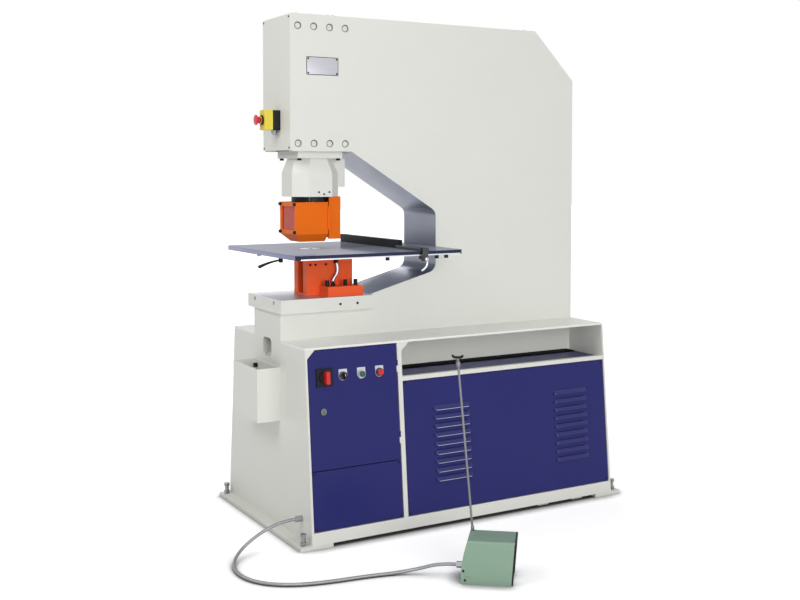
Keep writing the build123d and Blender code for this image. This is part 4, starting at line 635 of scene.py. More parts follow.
def turned(profile: Profile | np.ndarray, centre: Point, axis: Point, around: int = 28,
           sides: int = 0) -> np.ndarray:
    """A profile carried round an axis.

    The point for profile row i and angle a is the centre plus the row's height
    along the axis plus its radius times the unit direction at a. With sides set,
    rows whose third column is one use the radius of a regular polygon:
    r cos(pi/sides) over the cosine of the angle left inside its side.

    Args:
        profile: rows of radius, height and an optional polygon flag.
        centre: the axis's foot.
        axis: the direction of growing height.
        around: points round the axis.
        sides: the polygon's number of sides.

    Returns:
        Points of shape (rows, around, 3).
    """
    rows = np.array(profile, float)
    up = np.array(axis, float) / np.linalg.norm(axis)
    side = np.cross(up, REAR if abs(up[0]) < 0.9 else FAR)
    side /= np.linalg.norm(side)
    front = np.cross(up, side)
    angle = np.linspace(0.0, 2.0 * np.pi, around, endpoint=False)
    radius = np.repeat(rows[:, :1], around, axis=1)
    if sides:
        wedge = np.pi / sides
        polygon = np.cos(wedge) / np.cos(np.mod(angle, 2.0 * wedge) - wedge)
        flag = rows[:, 2:3]
        radius = radius * (1.0 - flag + flag * polygon[None, :])
    ring = np.cos(angle)[:, None] * side + np.sin(angle)[:, None] * front
    return np.array(centre) + rows[:, 1][:, None, None] * up + radius[:, :, None] * ring[None]


def swept(path: np.ndarray, radius: np.ndarray, around: int = 14, up: Point = UP) -> np.ndarray:
    """A round section carried along a path.

    At each path point the section's circle lies in the plane square to the
    path's local direction, with its first axis square to the given up direction.

    Args:
        path: points of shape (n, 3).
        radius: the section's radius at each point.
        around: points round the section.
        up: a direction that the path never runs along.

    Returns:
        Points of shape (n, around, 3).
    """
    along = np.gradient(path, axis=0)
    along /= np.linalg.norm(along, axis=1, keepdims=True)
    first = np.cross(along, np.array(up))
    first /= np.linalg.norm(first, axis=1, keepdims=True)
    second = np.cross(first, along)
    angle = np.linspace(0.0, 2.0 * np.pi, around, endpoint=False)[None, :, None]
    ring = np.cos(angle) * first[:, None, :] + np.sin(angle) * second[:, None, :]
    return path[:, None, :] + radius[:, None, None] * ring


def smooth_line(points: list[Point], count: int = 40) -> np.ndarray:
    """A smooth line through points: cubic Hermite runs with central-difference tangents.

    Args:
        points: the points to pass through.
        count: how many points to return.

    Returns:
        Points of shape (count, 3).
    """
    knots = np.array(points, float)
    tangent = np.gradient(knots, axis=0)
    place = np.linspace(0.0, len(knots) - 1.0, count)
    index = np.minimum(place.astype(int), len(knots) - 2)
    t = (place - index)[:, None]
    a, b = knots[index], knots[index + 1]
    u, v = tangent[index], tangent[index + 1]
    return ((2 * t**3 - 3 * t**2 + 1) * a + (t**3 - 2 * t**2 + t) * u
            + (-2 * t**3 + 3 * t**2) * b + (t**3 - t**2) * v)


def slab(lo: Point, hi: Point, edge: float, axis: int, rows: int = 4) -> np.ndarray:
    """A flat slab with rounded rims, as one tube grid.

    Each row is the rectangle's outline with corners rounded by twice the edge,
    drawn in by edge times one minus the sine of the row's angle and raised by
    edge times one minus its cosine.

    Args:
        lo: lowest corner.
        hi: highest corner.
        edge: the rim's radius.
        axis: the slab's thin direction, 0, 1 or 2.
        rows: rows in each rounded rim.

    Returns:
        Points of shape (2 rows, 24, 3).
    """
    steps = 6
    lo_a, hi_a = np.array(lo, float), np.array(hi, float)
    centre, half = (lo_a + hi_a) / 2.0, (hi_a - lo_a) / 2.0
    quarter = np.tile(np.linspace(0, 90, steps), 4)
    turn = np.radians(np.repeat([0, 90, 180, 270], steps) + quarter)
    step = np.radians(np.linspace(0.0, 90.0, rows))
    inset = edge * (1.0 - np.sin(step))
    rise = edge * (1.0 - np.cos(step))
    inset_all = np.concatenate([inset, inset[::-1]])
    height = np.concatenate([-half[axis] + rise, half[axis] - rise[::-1]])
    corner = edge * 2.0
    grid = np.zeros((len(height), 4 * steps, 3))
    flat = [k for k in range(3) if k != axis]
    for k, signs, bend in zip(flat, ([1, -1, -1, 1], [1, 1, -1, -1]), (np.cos, np.sin)):
        line = np.repeat(signs, steps) * (half[k] - corner) + bend(turn) * corner
        grid[:, :, k] = centre[k] + line[None, :] * (1.0 - inset_all[:, None] / half[k])
    grid[:, :, axis] = centre[axis] + height[:, None]
    return grid


def ring_profile(inner: float, outer: float, low: float, top: float, chamfer: float) -> Profile:
    """The closed profile of a flat ring with a chamfer on its outer top edge.

    Args:
        inner: inner radius.
        outer: outer radius.
        low: height of its foot.
        top: height of its top.
        chamfer: the chamfer's size, nought for none.

    Returns:
        Rows of radius and height, the last one the first one again.
    """
    edge = ((outer, top - chamfer), (outer - chamfer, top)) if chamfer else ((outer, top),)
    return ((inner, low), (outer, low), *edge, (inner, top), (inner, low))


def tube_faces(rows: int, around: int, capped: bool) -> list[list[int]]:
    """The faces of a grid that closes round its second direction.

    Args:
        rows: the grid's rows.
        around: points in each row.
        capped: whether to close the first and last rows with a face.

    Returns:
        Point numbers of each face.
    """
    i, j = np.meshgrid(np.arange(rows - 1) * around, np.arange(around), indexing="ij")
    k = (j + 1) % around
    faces = np.stack([i + j, i + k, i + around + k, i + around + j], axis=-1)
    faces = faces.reshape(-1, 4).tolist()
    if capped:
        faces.append(np.arange(around)[::-1].tolist())
        faces.append((np.arange(around) + (rows - 1) * around).tolist())
    return faces


@dataclass
class Shop:
    """Makes pieces out of grids, dresses them and lets them ride on a body."""

    materials: dict
    seam: float = 1e-6

    def mesh(self, name: str, grids: list[np.ndarray], capped: bool) -> bpy.types.Mesh:
        """One mesh of all grids, with seams closed and every shell's faces outwards.

        Args:
            name: the mesh's name.
            grids: tube grids of shape (rows, around, 3).
            capped: whether their ends are closed.

        Returns:
            The mesh.
        """
        faces, count = [], 0
        for grid in grids:
            rows, around = grid.shape[:2]
            faces += [[count + k for k in face] for face in tube_faces(rows, around, capped)]
            count += rows * around
        mesh = bpy.data.meshes.new(name)
        points = np.concatenate([grid.reshape(-1, 3) for grid in grids])
        mesh.from_pydata(points.tolist(), [], faces)
        mesh.update()
        work = bmesh.new()
        work.from_mesh(mesh)
        bmesh.ops.remove_doubles(work, verts=work.verts, dist=self.seam)
        bmesh.ops.recalc_face_normals(work, faces=work.faces)
        work.to_mesh(mesh)
        work.free()
        return mesh

    def make(self, name: str, slot: Slot, body: str, grids: list[np.ndarray],
             sharp: float = 35.0, capped: bool = True) -> bpy.types.Object:
        """Makes one piece.

        Args:
            name: the piece's name.
            slot: the material slot of its finish.
            body: the body it rides on.
            grids: tube grids of shape (rows, around, 3).
            sharp: edges bent by more than this many degrees stay sharp.
            capped: whether the grids' ends are closed.

        Returns:
            The object.
        """
        mesh = self.mesh(name, grids, capped)
        mesh.polygons.foreach_set("use_smooth", np.ones(len(mesh.polygons), dtype=bool))
        mesh.set_sharp_from_angle(angle=math.radians(sharp))
        piece = bpy.data.objects.new(name, mesh)
        bpy.context.collection.objects.link(piece)
        piece.data.materials.append(self.materials.get(name, self.materials[slot]))
        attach(piece, body)
        LOG.info("%s: %d faces on %s", name, len(mesh.polygons), body)
        return piece


# Sub-assemblies


@dataclass
class Assembly:
    """What every sub-assembly has: the shop that makes its pieces."""

    shop: Shop


@dataclass(frozen=True)
class NearSide:
    """The sloping near side's own frame: along the machine, up the slope and outwards."""

    foot: Point = (0.0, -0.400, 0.014)
    up: Point = (0.0, 0.088351, 0.996089)
    out: Point = (0.0, -0.996089, 0.088351)

    def placed(self, grid: np.ndarray) -> np.ndarray:
        """Moves points to the machine's frame: the foot plus each share times its direction.

        Args:
            grid: points whose last axis is along, up and out.

        Returns:
            The points, of the same shape.
        """
        return np.array(self.foot) + grid @ np.array([REAR, self.up, self.out])


@dataclass
class Conduit(Assembly):
    """The grey conduit from the base's front end to the foot switch."""

    diameter: float = 0.012
    ridge: float = 0.0006
    ridge_pitch: float = 0.0045
    ridge_rows: int = 6
    line_steps: int = 24
    sharp: float = 80.0
    route: tuple[Point, ...] = (
        (-0.7165, -0.310, 0.092), (-0.764, -0.310, 0.092), (-0.828, -0.316, 0.076),
        (-0.890, -0.327, 0.052), (-0.944, -0.346, 0.024), (-0.988, -0.402, 0.008),
        (-1.008, -0.478, 0.0066), (-1.001, -0.562, 0.0066), (-0.956, -0.636, 0.0066),
        (-0.872, -0.690, 0.0066), (-0.762, -0.716, 0.0066), (-0.648, -0.730, 0.0066),
        (-0.545, -0.754, 0.0066), (-0.478, -0.784, 0.018), (-0.425313, -0.833482, 0.042),
        (-0.381609, -0.868495, 0.042),
    )

    def centreline(self) -> np.ndarray:
        """Reads the route's NURBS line as points.

        Returns:
            Points of shape (n, 3) along the line.
        """
        curve = bpy.data.curves.new("conduit_line", "CURVE")
        curve.dimensions = "3D"
        curve.resolution_u = self.line_steps
        spline = curve.splines.new("NURBS")
        spline.points.add(len(self.route) - 1)
        spline.points.foreach_set("co", np.array([(*p, 1.0) for p in self.route]).ravel())
        spline.order_u = 3
        spline.use_endpoint_u = True
        holder = bpy.data.objects.new("conduit_line", curve)
        line = bpy.data.meshes.new_from_object(holder)
        points = np.zeros(len(line.vertices) * 3)
        line.vertices.foreach_get("co", points)
        bpy.data.objects.remove(holder)
        bpy.data.meshes.remove(line)
        bpy.data.curves.remove(curve)
        return points.reshape(-1, 3)

    def build(self) -> None:
        """The radius is half the diameter less the ridge, plus the ridge times the
        raised cosine of the distance run over the ridge pitch.
        """
        line = self.centreline()
        step = np.linalg.norm(np.diff(line, axis=0), axis=1)
        run = np.concatenate([[0.0], np.cumsum(step)])
        length = float(run[-1])
        fine = np.linspace(0.0, length, int(length / self.ridge_pitch * self.ridge_rows))
        path = np.stack([np.interp(fine, run, line[:, k]) for k in range(3)], axis=1)
        wave = 0.5 + 0.5 * np.cos(2.0 * np.pi * fine / self.ridge_pitch)
        radius = self.diameter / 2.0 - self.ridge + self.ridge * wave
        tube = swept(path, radius)
        piece = self.shop.make("conduit_tube", Slot.CONDUIT, "machine", [tube], self.sharp)
        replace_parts(piece, "conduit")


@dataclass
class Head(Assembly):
    """Trim on the punch head: bare type plate, painted bolts and the emergency stop."""

    plate_lo: Point = (-0.576, -0.1284, 1.709)
    plate_hi: Point = (-0.443, -0.1268, 1.777)
    plate_edge: float = 0.0005
    rim: float = 0.0022
    face_lift: Pair = (0.0006, 0.0003)
    face_edge: float = 0.0003
    rivet_inset: float = 0.007
    rivet_sink: float = 0.0002
    rivet: Profile = ((0.0036, 0.0), (0.0035, 0.0008), (0.0025, 0.0016), (0.0010, 0.0020))
    bolt_xs: tuple[float, ...] = (-0.6105, -0.5445, -0.4785, -0.4125)
    bolt_zs: Pair = (1.451, 1.890)
    bolt_radius: float = 0.0103
    bolt_shares: Profile = (
        (1.0, 0.0, 0), (1.0, 0.0030, 0), (0.94, 0.0040, 0), (0.82, 0.0044, 0),
        (0.56, 0.0044, 1), (0.54, 0.0040, 1), (0.52, 0.0012, 1), (0.2, 0.0010, 1))
    face_y: float = 0.127
    seat_depth: float = 0.007
    # Dark rings of painted shade on the bolt recesses' floors, set off centre
    shade_ring_radii: Pair = (0.0078, 0.0134)
    shade_ring_heights: Pair = (0.0001, 0.0014)
    shade_ring_shift: float = 0.0011
    top_xs: tuple[float, ...] = (-0.612, -0.480, -0.460, 0.440)
    top_y: float = -0.112
    top_z: float = 1.935
    top_bolt: Profile = (
        (0.0060, 0.0, 0), (0.0060, 0.0036, 0), (0.0054, 0.0046, 0), (0.0034, 0.0048, 1),
        (0.0033, 0.0022, 1), (0.0010, 0.0020, 1))
    stop_place: Point = (-0.7205, -0.015, 1.540)
    stop_sharp: float = 50.0
    mushroom: Profile = (
        (0.0078, 0.012), (0.0078, -0.0002), (0.0122, -0.0004), (0.0128, -0.0014),
        (0.0122, -0.0040), (0.0124, -0.0070), (0.0150, -0.0095), (0.0186, -0.0110),
        (0.0198, -0.0130), (0.0194, -0.0150), (0.0170, -0.0164), (0.0110, -0.0170),
        (0.0010, -0.0172))
    collar_face: float = -0.7085
    collar_ring: Profile = (
        (0.0152, 0.0), (0.0184, 0.0003), (0.0184, 0.0048), (0.0176, 0.0066), (0.0152, 0.0068),
        (0.0152, 0.0))
    gland_place: Point = (-0.659, -0.015, 1.5022)
    gland: Profile = (
        (0.0110, 0.0, 0), (0.0110, 0.003, 0), (0.0128, 0.0032, 1), (0.0128, 0.010, 1),
        (0.0100, 0.0105, 0), (0.0095, 0.015, 0), (0.0065, 0.017, 0))

    def type_plate(self) -> None:
        """A bare plate with a dark rim, held by four domed rivets."""
        lo, hi, rim, inset = self.plate_lo, self.plate_hi, self.rim, self.rivet_inset
        plate = slab(lo, hi, self.plate_edge, axis=1)
        self.shop.make("type_plate_rim", Slot.BLACK_STEEL, "machine", [plate])
        front = lo[1] - self.face_lift[0]
        face = slab((lo[0] + rim, front, lo[2] + rim),
                    (hi[0] - rim, hi[1] - self.face_lift[1], hi[2] - rim), self.face_edge, axis=1)
        self.shop.make("type_plate", Slot.SILVER, "machine", [face])
        rivets = [turned(self.rivet, (x, front + self.rivet_sink, z), NEAR, around=14)
                  for x in (lo[0] + inset, hi[0] - inset) for z in (lo[2] + inset, hi[2] - inset)]
        self.shop.make("type_plate_rivets", Slot.BLACK_STEEL, "machine", rivets)

    def seats(self, shift: float = 0.0) -> list[tuple[Point, Point]]:
        """The floors of the bolts' recesses on both sides.

        Args:
            shift: how far to move each one along the machine and up.

        Returns:
            Each floor's centre and the direction outwards.
        """
        return [((x + shift, side * (self.face_y - self.seat_depth), z + shift), (0.0, side, 0.0))
                for side in (-1.0, 1.0) for x in self.bolt_xs for z in self.bolt_zs]

    def bolts(self) -> None:
        """Painted socket bolts in their recesses and along the top edge, and painted shade round
        them.

        Dark rings on the recesses' floors are painted shade in the gaps round the bolts, each set a
        little off its centre so that the shade shows as a crescent on one side.
        """
        profile = np.array(self.bolt_shares) * np.array([self.bolt_radius, 1.0, 1.0])
        bolts = [turned(profile, foot, out, around=36, sides=HEX) for foot, out in self.seats()]
        bolts += [turned(self.top_bolt, (x, self.top_y, self.top_z), UP, around=24, sides=HEX)
                  for x in self.top_xs]
        piece = self.shop.make("head_bolt_set", Slot.CREAM, "machine", bolts)
        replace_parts(piece, "head_bolts")
        # Painted shade: dark rings in the gaps round the bolts, shifted off centre to give shaded
        # crescents
        ring = ring_profile(*self.shade_ring_radii, *self.shade_ring_heights, 0.0)
        shade_rings = [turned(ring, foot, out, around=36)
                   for foot, out in self.seats(self.shade_ring_shift)]
        self.shop.make("bolt_shade_rings", Slot.BLACK_STEEL, "machine", shade_rings, capped=False)

    def stop_button(self) -> None:
        """A red mushroom with a grip waist, the black ring round its collar, and a cable gland."""
        button = turned(self.mushroom, self.stop_place, REAR, around=36)
        piece = self.shop.make("estop_mushroom", Slot.RED, "estop_head", [button], self.stop_sharp)
        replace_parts(piece, "estop_button")
        ring = turned(self.collar_ring, (self.collar_face, *self.stop_place[1:]), FRONT, around=36)
        self.shop.make("estop_ring", Slot.BLACK_PLASTIC, "machine", [ring], capped=False)
        gland = turned(self.gland, self.gland_place, DOWN, around=36, sides=HEX)
        self.shop.make("estop_gland", Slot.CONDUIT, "machine", [gland])

    def build(self) -> None:
        """Builds all of the head's trim."""
        self.type_plate()
        self.bolts()
        self.stop_button()


@dataclass
class ScrewSet(Assembly):
    """Black socket screws of one size that look one way."""

    name: str
    body: str
    axis: Point
    screw: Profile
    places: tuple[Point, ...]

    def build(self) -> None:
        """Turns one screw at each place."""
        screws = [turned(self.screw, place, self.axis, around=24, sides=HEX)
                  for place in self.places]
        self.shop.make(self.name, Slot.BLACK_STEEL, self.body, screws)


@dataclass
class GuardScrews(ScrewSet):
    """The four screws of the guard's window."""

    name: str = "guard_screws"
    body: str = "guard_box"
    axis: Point = FRONT
    screw: Profile = (
        (0.0065, 0.0, 0), (0.0065, 0.0072, 0), (0.0058, 0.0080, 0), (0.0034, 0.0080, 1),
        (0.0033, 0.0042, 1), (0.0010, 0.0040, 1))
    places: tuple[Point, ...] = (
        (-0.5975, -0.067, 1.113), (-0.5975, -0.067, 1.220), (-0.5975, 0.067, 1.113),
        (-0.5975, 0.067, 1.220))


@dataclass
class DieScrews(ScrewSet):
    """The screws on the bolster and the die holder."""

    name: str = "bolster_screws"
    body: str = "machine"
    axis: Point = NEAR
    screw: Profile = (
        (0.0048, 0.0, 0), (0.0048, 0.0016, 0), (0.0042, 0.0022, 0), (0.0026, 0.0022, 1),
        (0.0025, 0.0008, 1), (0.0010, 0.0006, 1))
    places: tuple[Point, ...] = (
        (-0.4525, -0.160, 0.841), (-0.379, -0.160, 0.841), (-0.531, -0.058, 0.986),
        (-0.508, -0.058, 0.986), (-0.464, -0.058, 0.986))


@dataclass(frozen=True)
class Lever:
    """One bent lever: a hub, and a smooth handle that thickens towards its tip."""

    name: str
    node: str
    body: str
    pivot: Point
    hub: Profile
    hub_axis: Point
    steps: tuple[Point, ...]
    radii: Pair
    slot: Slot
    hub_slot: Slot
    upright: Point
    tip: Pair = (0.86, 0.5)
    sharp: float = 45.0

    def build(self, shop: Shop) -> None:
        """Sweeps the handle and turns the hub, which is its own piece if its finish differs.

        The radius runs from the first to the second one with the square of the
        share of the way, and closes in at the tip.

        Args:
            shop: makes the pieces.
        """
        line = smooth_line((np.array(self.pivot) + np.array(self.steps)).tolist(), count=36)
        share = np.linspace(0.0, 1.0, len(line))
        radius = self.radii[0] + (self.radii[1] - self.radii[0]) * share**2
        radius[-2:] *= np.array(self.tip)
        grids = [swept(line, radius, around=16, up=self.upright)]
        hub = turned(self.hub, self.pivot, self.hub_axis)
        if self.hub_slot is self.slot:
            grids.append(hub)
        else:
            shop.make(self.name + "_hub", self.hub_slot, self.body, [hub])
        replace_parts(shop.make(self.name, self.slot, self.body, grids, self.sharp), self.node)


CAP_HUB: Profile = (
    (0.0068, 0.0), (0.0078, 0.0010), (0.0078, 0.0125), (0.0066, 0.0138), (0.002, 0.014))
BOSS_HUB: Profile = (
    (0.0072, 0.0), (0.0078, 0.001), (0.0078, 0.0185), (0.0064, 0.0198), (0.002, 0.02))


@dataclass
class Levers(Assembly):
    """The bent levers of the die, the gauge and the table."""

    levers: tuple[Lever, ...] = (
        Lever("die_lever_arm", "die_lever", "die_clamp", (-0.4235, -0.058, 0.996), CAP_HUB, NEAR,
              ((0.0, -0.008, 0.0), (0.005, -0.009, -0.022), (0.001, -0.010, -0.046),
               (-0.012, -0.010, -0.066), (-0.017, -0.009, -0.080)),
              (0.0058, 0.0070), Slot.BRIGHT, Slot.BLACK_STEEL, FAR),
        Lever("gauge_lever_arm", "gauge_lever", "gauge_clamp", (-0.190, -0.3523, 1.016), CAP_HUB,
              NEAR, ((0.0, -0.007, 0.0), (0.002, -0.009, -0.014), (-0.004, -0.010, -0.028),
                     (-0.022, -0.008, -0.044)),
              (0.0042, 0.0052), Slot.BRIGHT, Slot.BRIGHT, FAR),
        Lever("table_lever_arm", "table_lever", "table_clamp", (-0.6905, -0.142, 1.028), BOSS_HUB,
              DOWN, ((0.0, 0.0, -0.010), (-0.03, 0.0, -0.015), (-0.06, 0.0, -0.023),
                     (-0.090, 0.0, -0.034)),
              (0.0036, 0.0066), Slot.BLACK_PLASTIC, Slot.BLACK_PLASTIC, UP),
    )

    def build(self) -> None:
        """Builds the three levers."""
        for lever in self.levers:
            lever.build(self.shop)


@dataclass
class FootSwitch(Assembly):
    """Trim on the foot switch: screws, an embossed rib, a black bead of painted shade round its
    mouth and the carry rod.
    """

    origin: Point = (-0.366, -0.881, 0.0)
    degrees: float = -38.7
    half: float = 0.0615
    screw_places: tuple[Pair, ...] = ((0.0085, 0.043), (0.014, 0.013))
    screw: Profile = ((0.0040, 0.0), (0.0040, 0.0012), (0.0030, 0.0022), (0.0010, 0.0026))
    rib_reach: Pair = (0.012, 0.034)
    rib_height: float = 0.028
    rib_proud: float = 0.0006
    rib_radius: float = 0.0032
    rib_rows: int = 16
    rib_end: float = 0.02
    mouth_foot: float = 0.167
    mouth_top: Pair = (0.178, 0.143)
    edging: float = 0.0032
    edging_inset: float = 0.002
    edging_bend: float = 0.006
    edging_rows: int = 14
    bend_rows: int = 8
    edging_sharp: float = 60.0
    rod_foot: Point = (0.029, 0.0475, 0.143)
    rod_top: Point = (-0.023, 0.0475, 0.727)
    rod_radius: float = 0.0038
    rod_rows: int = 24
    rod_sharp: float = 50.0
    ferrule: Profile = ((0.0062, 0.0), (0.0062, 0.012), (0.0052, 0.0165), (0.0040, 0.018))
    collar: Profile = (
        (0.0040, -0.006), (0.0070, -0.004), (0.0078, 0.004), (0.0070, 0.012), (0.0040, 0.014))
    collar_share: float = 0.955
    grip_half: float = 0.019
    grip_drop: float = 0.001
    grip_rise: float = 0.009
    grip_radius: float = 0.0046
    grip_least: float = 0.04

    def placed(self, points: np.ndarray) -> np.ndarray:
        """Points of the foot switch's own frame, in the machine's frame.

        Each one is the origin plus its first two shares turned about Z, plus its height.

        Args:
            points: towards the mouth, across and up, on the last axis.

        Returns:
            The points, of the same shape.
        """
        turn = math.radians(self.degrees)
        ahead, across = self.ahead(), (-math.sin(turn), math.cos(turn), 0.0)
        return np.array(self.origin) + np.array(points) @ np.array([ahead, across, UP])

    def ahead(self) -> Point:
        """The direction from the foot switch's rear towards its mouth.

        Returns:
            A unit direction.
        """
        turn = math.radians(self.degrees)
        return (math.cos(turn), math.sin(turn), 0.0)

    def side_trim(self) -> None:
        """Two domed screws and the embossed rib on the near side."""
        turn = math.radians(self.degrees)
        out = (math.sin(turn), -math.cos(turn), 0.0)
        screws = [turned(self.screw, self.placed((x, -self.half, z)), out, around=16)
                  for x, z in self.screw_places]
        self.shop.make("switch_screws", Slot.BLACK_STEEL, "machine", screws)
        line = np.zeros((self.rib_rows, 3))
        line[:, 0] = np.linspace(*self.rib_reach, self.rib_rows)
        line[:, 1:] = (-self.half - self.rib_proud, self.rib_height)
        way = np.linspace(self.rib_end, np.pi - self.rib_end, self.rib_rows)
        bulge = self.rib_radius * np.sqrt(np.sin(way))
        tube = swept(self.placed(line), bulge, around=12)
        self.shop.make("switch_rib", Slot.GREEN, "machine", [tube])

    def mouth_shade_bead(self) -> None:
        """A black bead round the mouth, painted shade for the dark inside seen past its edge: up
        one side, round two bends and down the other.
        """
        rows, bend = self.edging_rows, self.edging_bend
        across = np.linspace(0.0, np.pi / 2.0, self.bend_rows)
        half, top = self.half - self.edging_inset, self.mouth_top[1] - self.edging_inset
        up = self.edging + (top - bend - self.edging) * np.linspace(0.0, 1.0, rows)
        rise = np.stack([np.full(rows, -half), up], axis=1)
        turn_in = np.stack([-half + bend * (1.0 - np.cos(across)),
                            top - bend + bend * np.sin(across)], axis=1)
        near = np.concatenate([rise, turn_in[1:]])
        loop = np.concatenate([near, (near * np.array([-1.0, 1.0]))[::-1]])
        lean = self.mouth_top[0] - self.mouth_foot
        reach = self.mouth_foot + lean * loop[:, 1] / self.mouth_top[1]
        path = self.placed(np.concatenate([reach[:, None], loop], axis=1))
        tube = swept(path, np.full(len(path), self.edging), around=10, up=self.ahead())
        # Painted shade: the black bead stands for the dark inside of the mouth
        self.shop.make("switch_mouth_shade_bead", Slot.BLACK_PLASTIC, "machine", [tube], self.edging_sharp)

    def carry_rod(self) -> None:
        """The rod to move the foot switch by: ferrule, bar, collar and a grip with upturned ends.

        The grip rises with the fourth power of the share from its middle, and its
        radius closes in at the ends with the root of one less the twelfth power.
        """
        foot, top = self.placed(self.rod_foot), self.placed(self.rod_top)
        line = foot + (top - foot) * np.linspace(0.0, 1.0, self.rod_rows)[:, None]
        bar = swept(line, np.full(self.rod_rows, self.rod_radius), around=16, up=FAR)
        ferrule = turned(self.ferrule, foot, UP, around=20)
        collar = turned(self.collar, foot + (top - foot) * self.collar_share, top - foot, around=20)
        u = np.linspace(-1.0, 1.0, self.rod_rows)
        grip = np.array(self.rod_top) + np.stack(
            [self.grip_half * u, np.zeros_like(u), self.grip_rise * u**4 - self.grip_drop], axis=1)
        radius = self.grip_radius * np.sqrt(np.clip(1.0 - np.abs(u) ** 12, self.grip_least, 1.0))
        handle = swept(self.placed(grip), radius, around=16)
        self.shop.make("carry_rod_grip", Slot.BLACK_STEEL, "machine", [handle], self.rod_sharp)
        piece = self.shop.make("carry_rod_bar", Slot.BRIGHT, "machine", [bar, ferrule, collar],
                          self.rod_sharp)
        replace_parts(piece, "carry_rod")

    def build(self) -> None:
        """Builds all of the foot switch's trim."""
        self.side_trim()
        self.mouth_shade_bead()
        self.carry_rod()


@dataclass
class Trim(Assembly):
    """A black sheet of painted shade in the recess, the chute's cheeks, a stud at the die and the
    table's edges.
    """

    # The black sheet of painted shadow that the deck casts on the tank's rear
    shade_sheet_lo: Point = (-0.272, -0.190, 0.574)
    shade_sheet_hi: Point = (0.661, -0.1285, 0.5775)
    shade_sheet_edge: float = 0.0014
    cheek_lo: Point = (-0.6783, 0.0405, 0.640)
    cheek_hi: Point = (-0.560, 0.0425, 0.712)
    cheek_edge: float = 0.0005
    stud_foot: Point = (-0.4530, -0.0985, 0.905)
    stud: Profile = (
        (0.0095, 0.0, 0), (0.0095, 0.0020, 0), (0.0086, 0.0022, 1), (0.0086, 0.0105, 1),
        (0.0078, 0.0115, 1), (0.0046, 0.0116, 0), (0.0046, 0.0165, 0), (0.0036, 0.0180, 0))
    table_lo: Point = (-0.7165, -0.342, 1.028)
    table_hi: Point = (-0.0105, 0.342, 1.045)
    table_corner: float = 0.016
    rim_height: float = 0.005
    skin: float = 0.00015

    def base_trim(self) -> None:
        """A black sheet of painted shadow on the tank's top, and the chute's two cheeks behind its
        mouth.
        """
        # Painted shadow: a black sheet on the tank's rear stands for the deck's shadow
        mat = slab(self.shade_sheet_lo, self.shade_sheet_hi, self.shade_sheet_edge, axis=2)
        self.shop.make("recess_shade_sheet", Slot.HOSE, "machine", [mat])
        (x0, y0, z0), (x1, y1, z1) = self.cheek_lo, self.cheek_hi
        cheeks = [slab((x0, low, z0), (x1, high, z1), self.cheek_edge, axis=1)
                  for low, high in ((y0, y1), (-y1, -y0))]
        self.shop.make("chute_cheeks", Slot.CREAM, "machine", cheeks)

    def clamp_stud(self) -> None:
        """A stud with its nut on the die holder's flange, below the lever."""
        stud = turned(self.stud, self.stud_foot, UP, around=36, sides=HEX)
        self.shop.make("flange_stud", Slot.BLACK_STEEL, "machine", [stud])

    def table_edges(self) -> None:
        """The table's polished front end, and a painted highlight along the lower rim of its near
        edge.
        """
        lo, hi, corner, skin = self.table_lo, self.table_hi, self.table_corner, self.skin
        end = slab((lo[0] - skin, lo[1] + corner, lo[2] + skin),
                   (lo[0] + skin, hi[1] - corner, hi[2] - skin), skin / 2.0, axis=0)
        self.shop.make("table_end", Slot.TABLE, "machine", [end])
        # Painted highlight: a pale strip of the table's steel along its near edge's lower rim
        rim = slab((lo[0] + corner, lo[1] - skin, lo[2] + skin),
                   (hi[0] - corner, lo[1] + skin, lo[2] + self.rim_height), skin / 2.0, axis=1)
        self.shop.make("table_rim_highlight", Slot.TABLE, "machine", [rim])

    def build(self) -> None:
        """Builds all of the trim."""
        self.base_trim()
        self.clamp_stud()
        self.table_edges()


